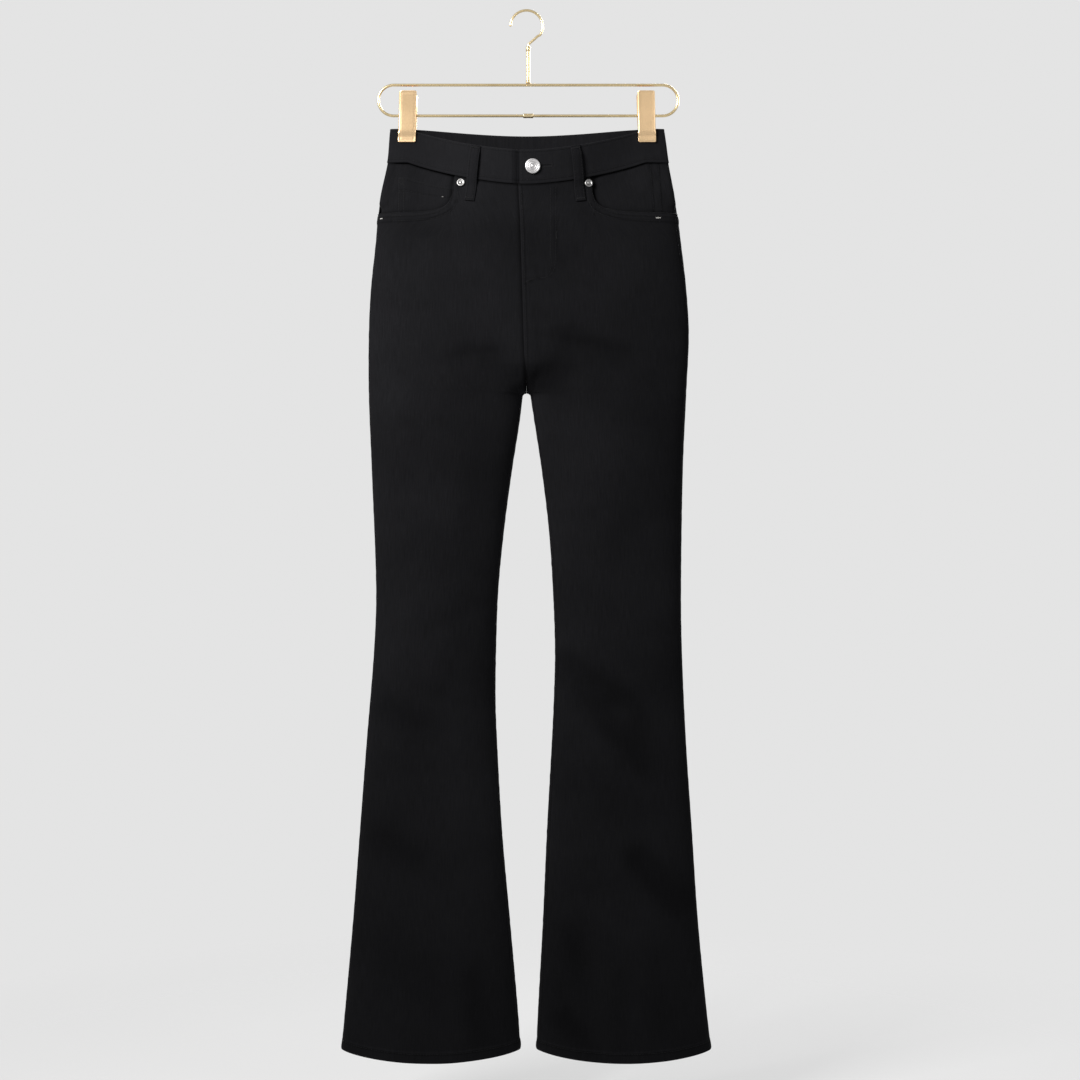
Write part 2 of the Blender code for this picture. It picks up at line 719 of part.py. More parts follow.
def hanger_wire():
    """The long closed loop that the clips slide on."""
    radius = (TOP_BAR_Z - BOTTOM_BAR_Z) / 2
    reach = LOOP_HALF_LENGTH - radius
    height = (TOP_BAR_Z + BOTTOM_BAR_Z) / 2
    path = arc((reach, height), radius, -90, 90, 12) + arc((-reach, height), radius, 90, 270, 12)
    return tube("hanger_wire", path, WIRE_RADIUS, GOLD, closed=True)


def hanger_hook():
    """The hook rises out of the stem, bends out and turns over the rail."""
    neck = [Vector((0.0, 0.0, STEM_TOP_Z + z)) for z in (SEAM_GAP, 0.0014)]
    lean = [Vector((0.0022, 0.0, STEM_TOP_Z + 0.0042)), Vector((0.0100, 0.0, STEM_TOP_Z + 0.0113))]
    bend = arc(HOOK_CENTRE, HOOK_RADIUS, -30, 176, 22)
    return tube("hanger_hook", neck + lean + bend, HOOK_WIRE_RADIUS, GOLD)


def ring_piece(name, bore, radius, length, place, axis, made_of, segments=14):
    """A plain sleeve."""
    half = length / 2
    chamfer = (radius - bore) * 0.35
    profile = (
        (bore, -half),
        (radius - chamfer, -half),
        (radius, -half + chamfer),
        (radius, half - chamfer),
        (radius - chamfer, half),
        (bore, half),
        (bore, -half),
    )
    return turned(name, profile, place, axis, made_of, segments)


def hanger_stem():
    """A plain rod between the top bar and the hook."""
    low, high = TOP_BAR_Z + WIRE_RADIUS + SEAM_GAP, STEM_TOP_Z
    height = high - low
    chamfer = 0.0006
    profile = (
        (0.0, 0.0),
        (STEM_RADIUS - chamfer, 0.0),
        (STEM_RADIUS, chamfer),
        (STEM_RADIUS, height - chamfer),
        (STEM_RADIUS - chamfer, height),
        (0.0, height),
    )
    return turned("hanger_stem", profile, Vector((0, 0, low)), Vector((0, 0, 1)), GOLD, 14)


def clip_plate(name, x, side, facing_way, ear_place):
    """A bent plate with turned-in side edges above its flat jaw. facing_way is FRONT or BACK."""
    lean = (
        ClipBend(CLIP_TOP_Z, CLIP_HEAD_Y, CLIP_ROLL),
        ClipBend(BOTTOM_BAR_Z + 0.0060, 0.0072, CLIP_ROLL),
        ClipBend(BOTTOM_BAR_Z - 0.0060, 0.0060, CLIP_ROLL),
        ClipBend(CLIP_FOOT_Z + 0.0130, 0.0050, CLIP_ROLL),
        ClipBend(CLIP_FOOT_Z + 0.0100, 0.0044, 0.0),
        ClipBend(CLIP_FOOT_Z + 0.0060, JAW_Y, 0.0),
        ClipBend(CLIP_FOOT_Z, JAW_Y, 0.0),
    )
    half = CLIP_WIDTH / 2
    grids = ([], [])
    for share in (-1.0, -0.9, 0.0, 0.9, 1.0):
        rolled = 1.0 if abs(share) == 1.0 else 0.0
        for grid, depth in zip(grids, (CLIP_METAL, 0.0)):
            column = [
                Vector((share * half, facing_way * (bend.y + depth - rolled * bend.roll), bend.z))
                for bend in lean
            ]
            grid.append([place_clip(p, x, side) for p in column])
    plate = wall(name, *grids, GOLD)
    for ear_side in (-1, 1):
        join(plate, clip_ear(f"{name}_ear", x + ear_side * ear_place, facing_way))
    return plate


def clip_ear(name, x, facing_way):
    """An ear that reaches in from a plate and hooks round the bar."""
    bm = bmesh.new()
    sides = 16
    loops = ([], [])
    for k in range(sides):
        angle = math.tau * k / sides
        y, z = math.cos(angle), math.sin(angle)
        reach = max(y, 0.0) ** 0.5
        rim = Vector((EAR_RADIUS * y * (1 - reach) + EAR_BASE_Y * reach, EAR_RADIUS * z * (1 + 0.9 * reach)))
        bore = Vector((y, z)) * (WIRE_RADIUS + SEAM_GAP)
        for loop, point in zip(loops, (rim, bore)):
            pair = []
            for half in (-0.5, 0.5):
                place = (x + half * EAR_METAL, facing_way * point.x, BOTTOM_BAR_Z + point.y)
                pair.append(bm.verts.new(place))
            loop.append(pair)
    for k in range(sides):
        m = (k + 1) % sides
        rim, bore = loops
        bm.faces.new((rim[k][0], rim[m][0], rim[m][1], rim[k][1]))
        bm.faces.new((bore[k][0], bore[k][1], bore[m][1], bore[m][0]))
        for half in (0, 1):
            bm.faces.new((rim[k][half], rim[m][half], bore[m][half], bore[k][half]))
    return finish(name, bm, GOLD)


def join(base, added):
    """Weld one solid onto another."""
    union = base.modifiers.new("weld", "BOOLEAN")
    union.operation = "UNION"
    union.solver = "EXACT"
    union.object = added
    added.hide_render = True
    added.display_type = "WIRE"


def place_clip(point, x, side):
    """Stand a clip's point at x and splay it about the bottom bar."""
    reach = point.z - BOTTOM_BAR_Z
    return Vector((x + point.x - side * reach * math.tan(CLIP_SPLAY), point.y, point.z))


def clips():
    made = []
    for side, x in zip((RIGHT, LEFT), CLIP_X):
        name = f"clip_{side_name(side)}"
        made.append(clip_plate(f"{name}_front", x, side, FRONT, FRONT_EAR_X))
        made.append(clip_plate(f"{name}_back", x, side, BACK, BACK_EAR_X))
        place = Vector((x, 0, BOTTOM_BAR_Z))
        bore = WIRE_RADIUS + SEAM_GAP
        made.append(
            ring_piece(f"{name}_spring", bore, SPRING_RADIUS, SPRING_LENGTH, place, Vector((1, 0, 0)), STEEL)
        )
    return made


def build():
    for old in list(bpy.data.objects):
        bpy.data.objects.remove(old, do_unlink=True)
    for leg in (RIGHT, LEFT):
        front(leg)
        back(leg)
        yoke(leg)
        facing(leg)
        back_pocket(leg)
    coin_pocket()
    waistband()
    for place in BELT_LOOPS:
        belt_loop(place)
    button()
    rivet("rivet_right", -0.0781)
    rivet("rivet_left", 0.0703)
    hanger_wire()
    hanger_hook()
    hanger_stem()
    middle_of_bar = Vector((0, 0, BOTTOM_BAR_Z))
    bore = WIRE_RADIUS + SEAM_GAP
    ring_piece(
        "hanger_ferrule", bore, FERRULE_RADIUS, FERRULE_LENGTH, middle_of_bar, Vector((1, 0, 0)), GOLD
    )
    clips()


build()
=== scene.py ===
"""Black bootcut five-pocket jeans, hung by two clips from a gilt wire trouser hanger.

Units are metres, +Z is up and the garment's front faces -Y. The origin is the inside top of the hook.
Left and right are the wearer's, so the right leg stands at -X.

Every piece of cloth is a thin sheet on one nested family of surfaces, which JeansForm holds. A place on
it has a leg, a face, `u` across the face from the outseam (0) to the inseam or the middle of the body (1),
`down` along the cloth from the waist's top edge, and `lift`, how far it stands outside the plain cloth.
"""

import logging
import math
from collections.abc import Sequence
from dataclasses import dataclass, field
from enum import Enum

import bmesh
import bpy
import numpy as np
from mathutils import Matrix, Vector
from mathutils.bvhtree import BVHTree


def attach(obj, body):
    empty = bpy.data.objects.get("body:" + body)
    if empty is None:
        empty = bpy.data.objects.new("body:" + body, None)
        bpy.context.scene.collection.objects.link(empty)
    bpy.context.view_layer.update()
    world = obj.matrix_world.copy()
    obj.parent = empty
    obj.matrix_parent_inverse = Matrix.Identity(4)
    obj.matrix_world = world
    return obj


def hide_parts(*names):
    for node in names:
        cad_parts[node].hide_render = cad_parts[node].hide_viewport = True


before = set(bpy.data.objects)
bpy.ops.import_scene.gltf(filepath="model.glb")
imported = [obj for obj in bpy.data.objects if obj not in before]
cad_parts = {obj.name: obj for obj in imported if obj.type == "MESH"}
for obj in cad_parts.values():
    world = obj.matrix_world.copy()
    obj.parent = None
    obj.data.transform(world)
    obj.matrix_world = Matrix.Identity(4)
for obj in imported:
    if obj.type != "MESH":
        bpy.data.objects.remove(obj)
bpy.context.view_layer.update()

BODY = "root"

# distances of sewn rows from the edge that they follow
DOUBLE_ROWS = (0.0022, 0.0084)
MOUTH_ROWS = (0.0026, 0.0088)
FLY_ROWS = (0.0, 0.0062)
COIN_ROWS = (0.0022, 0.0160)
# how far down the cloth the fly's lap dies away
LAP_ENDS = (0.262, 0.292)

log = logging.getLogger("jeans")

Array = np.ndarray


class Leg(Enum):
    """A leg, by the side of X that it stands on."""

    RIGHT = -1
    LEFT = 1

    @property
    def side(self) -> str:
        """The wearer's name for the side."""
        return self.name.lower()


class Face(Enum):
    """A face of the garment, by the side of Y that it looks to."""

    FRONT = -1
    BACK = 1


class Track:
    """A smooth curve through one column of a short table, straight on past its ends."""

    def __init__(self, downs: Sequence[float], values: Sequence[float]) -> None:
        """Work out the slopes once.

        Args:
            downs: Distances down the cloth, rising.
            values: The value at each.
        """
        self.downs = np.array(downs, float)
        self.values = np.array(values, float)
        low = np.maximum(np.arange(len(downs)) - 1, 0)
        high = np.minimum(np.arange(len(downs)) + 1, len(downs) - 1)
        self.slopes = (self.values[high] - self.values[low]) / (self.downs[high] - self.downs[low])

    def at(self, down: Array) -> Array:
        """Read the curve.

        Args:
            down: Distances down the cloth.

        Returns:
            The value at each distance.
        """
        down = np.asarray(down, float)
        last = len(self.downs) - 1
        i = np.clip(np.searchsorted(self.downs, down, side="right") - 1, 0, last - 1)
        d0, v0, v1 = self.downs[i], self.values[i], self.values[i + 1]
        s0, s1 = self.slopes[i], self.slopes[i + 1]
        step = self.downs[i + 1] - d0
        t = (down - d0) / step
        rise = t * t * (3 - 2 * t)
        inside = v0 * (1 - rise) + v1 * rise + s0 * step * t * (1 - t) ** 2 + s1 * step * t * t * (t - 1)
        return np.where(t < 0, v0 + s0 * (down - d0), np.where(t > 1, v1 + s1 * (down - d0 - step), inside))


def smooth(low: float, high: float, value: Array) -> Array:
    """0 below low, 1 above high, and a soft step between them."""
    t = np.clip((np.asarray(value, float) - low) / (high - low), 0.0, 1.0)
    return t * t * (3 - 2 * t)


def bump(away: Array, width: float) -> Array:
    """A soft bump of height 1 where away is 0."""
    return np.exp(-((np.asarray(away, float) / width) ** 2))


def grooves(away: Array, rows: Sequence[float], depth: float = 0.00022) -> Array:
    """The soft grooves that rows of stitches press into cloth, at their distances from an edge."""
    return depth * sum(bump(away - at, 0.0008) for at in rows)


def ripple(along: Array, length: float, seed: int) -> Array:
    """Uneven ripples, as thread draws up the cloth along a seam."""
    rng = np.random.default_rng(seed)
    total = np.zeros(np.shape(along))
    for share in (0.8, 1.0, 1.27, 1.6):
        total += np.sin(math.tau * along / (length * share) + rng.uniform(0, math.tau)) * rng.uniform(0.5, 1.0)
    return total / 2.2


def run_lengths(points: Array) -> Array:
    """Distances along a line of points, from 0 at its start."""
    return np.concatenate(((0.0,), np.cumsum(np.linalg.norm(np.diff(points, axis=0), axis=1))))


def across_lengths(points: Array) -> Array:
    """Distances across a grid of points, from 0 at its first column."""
    steps = np.linalg.norm(np.diff(points, axis=0), axis=2)
    return np.concatenate((np.zeros((1, points.shape[1])), np.cumsum(steps, axis=0)))


def away_from(x: Array, y: Array, line: Array) -> Array:
    """Distance from points of a plane to a chain of straight runs.

    Args:
        x: First coordinates, of any shape.
        y: Second coordinates.
        line: The chain's points, one row each.

    Returns:
        The distance from each point to the nearest place on the chain.
    """
    best = np.full(np.shape(x), 1e9)
    for (x0, y0), (x1, y1) in zip(line[:-1], line[1:]):
        run = np.array((x1 - x0, y1 - y0))
        t = np.clip(((x - x0) * run[0] + (y - y0) * run[1]) / max(run @ run, 1e-12), 0.0, 1.0)
        best = np.minimum(best, np.hypot(x - x0 - t * run[0], y - y0 - t * run[1]))
    return best


@dataclass(frozen=True)
class Fold:
    """A soft trough (or a ridge where depth is negative) along a straight line on one face."""

    face: Face
    x_from: float
    down_from: float
    x_to: float
    down_to: float
    half_width: float
    depth: float


@dataclass
class JeansForm:
    """The garment's surfaces: the same driving sizes and tables as its source, read for whole grids."""

    waist_z: float = -0.1375
    centre_x: float = -0.0019
    band_height: float = 0.040
    crotch_down: float = 0.309
    hem_down: float = 1.075
    hem_bow: float = 0.010
    front_dip: float = 0.029
    back_dip: float = 0.004
    dip_half_span: float = 0.139
    dip_power: float = 1.65
    dip_ends_down: float = 0.122
    front_lens: float = 0.024
    back_lens: float = 0.022
    lens_half_span: float = 0.126
    lens_power: float = 1.5
    pinch_half_depth: float = 0.0033
    pinch_ends_down: tuple[float, float] = (0.018, 0.125)
    front_crease: float = 0.032
    back_crease: float = 0.045
    crotch_arch: float = 0.003
    fly_top_x: float = -0.0100
    cloth_thickness: float = 0.0014
    band_proud: float = 0.0006
    band_cloth: float = 0.0026
    layer_gap: float = 0.0005
    pocket_cloth: float = 0.0012
    wave_height: float = 0.00030
    outseam: dict[Leg, Track] = field(init=False)
    inseam: dict[Leg, Track] = field(init=False)
    depth: dict[Face, Track] = field(init=False)
    power: Track = field(init=False)
    folds: tuple[Fold, ...] = field(init=False)

    def __post_init__(self) -> None:
        """Set out the tables and the fold list."""
        downs = (0, 0.036, 0.083, 0.136, 0.188, 0.241, 0.309, 0.399, 0.539, 0.610, 0.715, 0.820, 0.925, 1.031, 1.090)
        right = (
            *(-0.1610, -0.1640, -0.1735, -0.1785, -0.1840, -0.1865, -0.1865, -0.1830),
            *(-0.1780, -0.1805, -0.1890, -0.1970, -0.2050, -0.2145, -0.2200),
        )
        left = (
            *(0.1585, 0.1635, 0.1720, 0.1790, 0.1850, 0.1880, 0.1850, 0.1810),
            *(0.1790, 0.1800, 0.1847, 0.1917, 0.1987, 0.2090, 0.2160),
        )
        self.outseam = {Leg.RIGHT: Track(downs, right), Leg.LEFT: Track(downs, left)}
        downs = (0.309, 0.346, 0.399, 0.469, 0.539, 0.610, 0.668, 0.715, 0.820, 0.925, 1.031, 1.090)
        right = (
            *(-0.0060, -0.0107, -0.0190, -0.0283, -0.0350, -0.0376),
            *(-0.0382, -0.0365, -0.0306, -0.0213, -0.0120, -0.0080),
        )
        left = (0.0022, 0.0080, 0.0160, 0.0243, 0.0290, 0.0314, 0.0300, 0.0278, 0.0220, 0.0173, 0.0115, 0.0090)
        self.inseam = {Leg.RIGHT: Track(downs, right), Leg.LEFT: Track(downs, left)}
        downs = (0.0, 0.060, 0.130, 0.240, 0.309, 0.400, 0.540, 0.720, 0.925, 1.090)
        front = (0.027, 0.028, 0.028, 0.028, 0.030, 0.030, 0.025, 0.025, 0.028, 0.032)
        back = (0.028, 0.030, 0.032, 0.034, 0.034, 0.031, 0.025, 0.024, 0.026, 0.029)
        self.depth = {Face.FRONT: Track(downs, front), Face.BACK: Track(downs, back)}
        self.power = Track(downs, (0.40, 0.52, 0.70, 0.80, 0.85, 0.88, 0.90, 0.92, 0.95, 1.00))
        self.folds = self.large_folds() + self.small_folds()

    def large_folds(self) -> tuple[Fold, ...]:
        """The folds that the solids have too."""
        return self.folded({
            Face.FRONT: (
                (0.044, 0.626, 0.102, 0.677, 0.014, 0.0040),
                (0.102, 0.677, 0.142, 0.739, 0.013, 0.0034),
                (0.132, 0.853, 0.176, 0.897, 0.013, 0.0034),
                (0.045, 1.040, 0.080, 1.068, 0.012, 0.0028),
                (0.092, 0.985, 0.096, 1.060, 0.013, -0.0028),
                (0.055, 0.935, 0.063, 0.975, 0.012, 0.0024),
                (0.053, 0.251, 0.106, 0.263, 0.010, 0.0022),
                (0.012, 0.297, 0.032, 0.280, 0.009, 0.0030),
                (-0.069, 0.262, -0.034, 0.268, 0.010, 0.0022),
                (-0.162, 0.677, -0.126, 0.698, 0.013, 0.0028),
                (-0.171, 0.828, -0.132, 0.853, 0.014, 0.0024),
                (-0.092, 0.345, -0.088, 0.455, 0.026, -0.0016),
                (-0.060, 0.990, -0.052, 1.062, 0.014, 0.0024),
            ),
            Face.BACK: (
                (-0.050, 0.318, -0.120, 0.345, 0.013, 0.0036),
                (0.048, 0.322, 0.112, 0.343, 0.013, 0.0034),
                (-0.060, 0.575, -0.128, 0.600, 0.013, 0.0030),
                (0.058, 0.560, 0.118, 0.602, 0.014, 0.0034),
                (0.052, 0.660, 0.130, 0.700, 0.015, 0.0030),
                (-0.150, 0.760, -0.100, 0.800, 0.014, 0.0026),
                (-0.086, 0.960, -0.076, 1.064, 0.015, 0.0028),
                (0.128, 0.940, 0.120, 1.064, 0.015, 0.0028),
            ),
        })

    def small_folds(self) -> tuple[Fold, ...]:
        """Finer creases that only show close to."""
        return self.folded({
            Face.FRONT: (
                (-0.088, 0.270, -0.040, 0.263, 0.0055, 0.0011),
                (-0.060, 0.300, -0.012, 0.292, 0.0050, 0.0009),
                (0.030, 0.248, 0.070, 0.256, 0.0055, 0.0011),
                (0.070, 0.256, 0.122, 0.270, 0.0060, 0.0009),
                (0.012, 0.292, 0.070, 0.281, 0.0055, 0.0012),
                (0.004, 0.302, 0.040, 0.310, 0.0050, 0.0008),
                (0.050, 0.632, 0.092, 0.672, 0.0065, 0.0012),
                (0.096, 0.700, 0.140, 0.752, 0.0070, 0.0011),
                (0.120, 0.845, 0.168, 0.905, 0.0080, 0.0011),
                (0.016, 0.246, 0.054, 0.236, 0.006, 0.0009),
                (-0.014, 0.286, -0.046, 0.279, 0.006, 0.0010),
                (-0.104, 0.276, -0.150, 0.292, 0.009, 0.0011),
                (0.100, 0.286, 0.150, 0.300, 0.008, 0.0011),
                (0.070, 0.300, 0.118, 0.322, 0.010, -0.0010),
                (-0.060, 0.560, -0.110, 0.586, 0.011, 0.0012),
                (0.062, 0.580, 0.110, 0.612, 0.012, -0.0013),
                (-0.150, 0.640, -0.098, 0.664, 0.010, 0.0010),
                (-0.184, 0.900, -0.150, 0.930, 0.010, 0.0011),
                (-0.120, 0.960, -0.112, 1.050, 0.013, -0.0014),
                (0.150, 0.960, 0.158, 1.050, 0.012, 0.0012),
            ),
            Face.BACK: (
                (-0.100, 0.300, -0.150, 0.318, 0.009, 0.0014),
                (0.090, 0.304, 0.150, 0.322, 0.009, 0.0013),
                (-0.050, 0.610, -0.110, 0.646, 0.010, -0.0014),
                (0.070, 0.720, 0.140, 0.752, 0.011, 0.0012),
                (0.040, 1.000, 0.052, 1.064, 0.011, 0.0013),
                (-0.160, 0.990, -0.154, 1.060, 0.011, -0.0014),
            ),
        })

    def folded(self, rows: dict[Face, Sequence[tuple[float, ...]]]) -> tuple[Fold, ...]:
        """Folds from rows of numbers for each face."""
        return tuple(Fold(face, *row) for face, each in rows.items() for row in each)

    def dip(self, face: Face, x: Array) -> Array:
        """How far the waist's top edge hangs below its sides."""
        reach = np.minimum(np.abs(x - self.centre_x) / self.dip_half_span, 1.0)
        return (self.front_dip if face is Face.FRONT else self.back_dip) * (1 - reach**self.dip_power)

    def open_share(self, face: Face, down: Array) -> Array:
        """1 where the body is one tube, falling to 0 at the crotch."""
        crease = self.front_crease if face is Face.FRONT else self.back_crease
        t = np.clip((self.crotch_down - down) / crease, 0.0, 1.0)
        return np.sqrt(1 - (1 - t) ** 2)

    def middle(self, face: Face, down: Array) -> Array:
        """x of the centre front or centre back seam."""
        if face is Face.BACK:
            return np.full(np.shape(down), self.centre_x)
        t = np.clip((down - self.band_height) / (self.crotch_down - self.band_height), 0.0, 1.0)
        return self.fly_top_x + (self.centre_x - self.fly_top_x) * t

    def inner_edge(self, leg: Leg, face: Face, down: Array) -> Array:
        """x of the inseam, or of the centre seam above the crotch."""
        parted = np.sqrt(np.clip((down - self.crotch_down) / self.crotch_arch, 0.0, 1.0))
        below = self.centre_x + (self.inseam[leg].at(down) - self.centre_x) * parted
        return np.where(down <= self.crotch_down, self.middle(face, down), below)

    def sweep(self, face: Face, down: Array) -> Array:
        """The angle that u = 1 stands for: a half turn on a leg, a quarter turn on the body."""
        return math.pi - np.arcsin(np.minimum(self.open_share(face, down) ** (1 / self.power.at(down)), 1.0))

    def half_depth(self, face: Face, x: Array, down: Array) -> Array:
        """Half depth of the tube: a pinched lens at the waist, an oval lower down."""
        halfway = np.sqrt(1 - ((1 + np.cos(self.sweep(face, down))) / 2) ** 2)
        oval = self.depth[face].at(down) / halfway ** self.power.at(down)
        reach = np.minimum(np.abs(x - self.centre_x) / self.lens_half_span, 1.0)
        bow = (self.front_lens if face is Face.FRONT else self.back_lens) - self.pinch_half_depth
        lens = self.pinch_half_depth + bow * (1 - reach * reach) ** self.lens_power
        share = smooth(*self.pinch_ends_down, down)
        return lens * (1 - share) + oval * share

    def fold_depth(self, face: Face, x: Array, down: Array, spread: float = 1.0) -> Array:
        """How far the folds push the cloth inward, each fold widened by spread."""
        total = np.zeros(np.broadcast_shapes(np.shape(x), np.shape(down)))
        for fold in self.folds:
            if fold.face is face:
                line = np.array(((fold.x_from, fold.down_from), (fold.x_to, fold.down_to)))
                total += fold.depth * bump(away_from(x, down, line), fold.half_width * spread)
        return total

    def waves(self, face: Face, x: Array, down: Array) -> Array:
        """Slow uneven waves, as cloth that hangs free always has."""
        rng = np.random.default_rng(11 if face is Face.FRONT else 12)
        total = np.zeros(np.broadcast_shapes(np.shape(x), np.shape(down)))
        for _ in range(9):
            across, along = rng.uniform(6, 24), rng.uniform(1.5, 11)
            phase, weight = rng.uniform(0, math.tau), rng.uniform(0.4, 1.0)
            bend = 0.6 * np.sin(down * rng.uniform(5, 14) + phase)
            total += weight * np.sin(math.tau * (across * x + along * down) + phase + bend)
        return total / 3 * self.wave_height * (0.35 + 0.65 * smooth(0.10, 0.35, down))

    def place(self, leg: Leg, face: Face, u: Array, down: Array, lift: Array = 0.0) -> Array:
        """Points of the cloth.

        Args:
            leg: The leg.
            face: The face.
            u: Shares across the face.
            down: Distances down the cloth.
            lift: Heights above the plain cloth.

        Returns:
            One point for each, in the last axis.
        """
        u, down, lift = np.broadcast_arrays(np.asarray(u, float), down, lift)
        side = leg.value
        turn = self.sweep(face, down)
        angle = turn * u
        outer = self.outseam[leg].at(down) + side * lift
        inner = self.inner_edge(leg, face, down) + side * lift * np.cos(turn)
        x = outer + (inner - outer) * (1 - np.cos(angle)) / (1 - np.cos(turn))
        edge = np.maximum(np.sin(angle), 0.0)
        y = (self.half_depth(face, x, down) + lift + self.waves(face, x, down) * edge) * edge ** self.power.at(down)
        y -= self.fold_depth(face, x, down) * edge
        level = 1 - smooth(self.band_height, self.dip_ends_down, down)
        z = self.waist_z - down - self.dip(face, x) * level
        return np.stack((x, face.value * y, z), axis=-1)

    def across(self, leg: Leg, face: Face, x: Array, down: Array) -> Array:
        """The u at which the plain cloth has this x."""
        turn = self.sweep(face, down)
        outer = self.outseam[leg].at(down)
        share = (x - outer) / (self.inner_edge(leg, face, down) - outer)
        return np.arccos(np.clip(1 - share * (1 - np.cos(turn)), -1.0, 1.0)) / turn

    def place_x(self, face: Face, x: Array, down: Array, lift: Array = 0.0, leg: Leg | None = None) -> Array:
        """Points of the cloth by their x.

        Args:
            face: The face.
            x: Where they are across the garment.
            down: Distances down the cloth.
            lift: Heights above the plain cloth.
            leg: The leg, or None to tell it from the side of the centre seam.

        Returns:
            One point for each, in the last axis.
        """
        x, down, lift = np.broadcast_arrays(np.asarray(x, float), down, lift)
        if leg is not None:
            return self.place(leg, face, self.across(leg, face, x, down), down, lift)
        on_right = (x < self.middle(face, down))[..., None]
        return np.where(
            on_right,
            self.place_x(face, x, down, lift, Leg.RIGHT),
            self.place_x(face, x, down, lift, Leg.LEFT),
        )

    def down_seen(self, face: Face, x: Array, seen: Array) -> Array:
        """The distance down the cloth of a place that is seen so far below the waist's sides."""
        x, seen = np.broadcast_arrays(np.asarray(x, float), np.asarray(seen, float))
        down = seen.copy()
        for _ in range(30):
            down = seen - self.dip(face, x) * (1 - smooth(self.band_height, self.dip_ends_down, down))
        return down

    def hem(self, u: Array) -> Array:
        """How far down the hem is: it hangs lowest in the middle of each face."""
        return self.hem_down + self.hem_bow * np.sin(math.pi * np.asarray(u, float)) ** 2


FORM = JeansForm()


# ---- finishes --------------------------------------------------------------------------------------
@dataclass(frozen=True)
class NodeBench:
    """A short way to lay out and link shader nodes in one tree."""

    tree: bpy.types.NodeTree

    def set_inputs(self, node: bpy.types.Node, inputs: dict) -> None:
        """Give each named or numbered input its value, or the socket to link from."""
        for name, value in inputs.items():
            if isinstance(value, bpy.types.NodeSocket):
                self.tree.links.new(value, node.inputs[name])
            else:
                node.inputs[name].default_value = value

    def add(self, kind: str, inputs: dict | None = None, **settings: object) -> bpy.types.Node:
        """Add a node.

        Args:
            kind: Its type, without the ShaderNode prefix.
            inputs: Socket names or numbers, each with a value or the socket to link from.
            settings: The node's own settings.

        Returns:
            The new node.
        """
        node = self.tree.nodes.new(f"ShaderNode{kind}")
        for name, value in settings.items():
            setattr(node, name, value)
        self.set_inputs(node, inputs or {})
        return node

    def shade(self, inputs: dict) -> None:
        """Set the material's own shader."""
        self.set_inputs(self.tree.nodes["Principled BSDF"], inputs)

    def math(self, operation: str, *values: object) -> bpy.types.NodeSocket:
        """A Math node's result, from one, two or three values or sockets."""
        return self.add("Math", dict(enumerate(values)), operation=operation).outputs[0]

    def remap(self, value: bpy.types.NodeSocket, span: Sequence[float], to: Sequence[float]) -> bpy.types.NodeSocket:
        """A value stretched from one span onto another."""
        return self.add("MapRange", dict(enumerate((value, *span, *to)))).outputs[0]

    def blend(self, share: object, first: object, second: object, **settings: object) -> bpy.types.NodeSocket:
        """A colour mixed from two."""
        return self.add("Mix", {0: share, 6: first, 7: second}, data_type="RGBA", **settings).outputs[2]

    def bump(self, height: bpy.types.NodeSocket, distance: float, strength: float) -> bpy.types.NodeSocket:
        """A normal from a height."""
        return self.add("Bump", {"Height": height, "Distance": distance, "Strength": strength}).outputs[0]

    def mottle(self, place: bpy.types.NodeSocket, broad: float, fine: float) -> tuple[bpy.types.NodeSocket, ...]:
        """The mottle group's patches and speckle, at two scales."""
        group = self.add("Group", {"Vector": place, "Broad": broad, "Fine": fine}, node_tree=MOTTLE)
        return group.outputs["Patches"], group.outputs["Speckle"]


def start_material(name: str) -> tuple[bpy.types.Material, NodeBench]:
    """A new material with its shader, and a bench on its tree."""
    made = bpy.data.materials.new(name)
    made.use_nodes = True
    return made, NodeBench(made.node_tree)


def new_group(name: str, inputs: dict[str, tuple[str, object]], outputs: Sequence[str]) -> bpy.types.NodeTree:
    """A node group with its sockets.

    Args:
        name: The group's name.
        inputs: Each input's socket type and default.
        outputs: Names of its outputs, all plain values.

    Returns:
        The group, with its input and output nodes in it.
    """
    group = bpy.data.node_groups.new(name, "ShaderNodeTree")
    for label, (kind, default) in inputs.items():
        socket = group.interface.new_socket(label, in_out="INPUT", socket_type=f"NodeSocket{kind}")
        if default is not None:
            socket.default_value = default
    for label in outputs:
        group.interface.new_socket(label, in_out="OUTPUT", socket_type="NodeSocketFloat")
    group.nodes.new("NodeGroupInput")
    group.nodes.new("NodeGroupOutput")
    return group


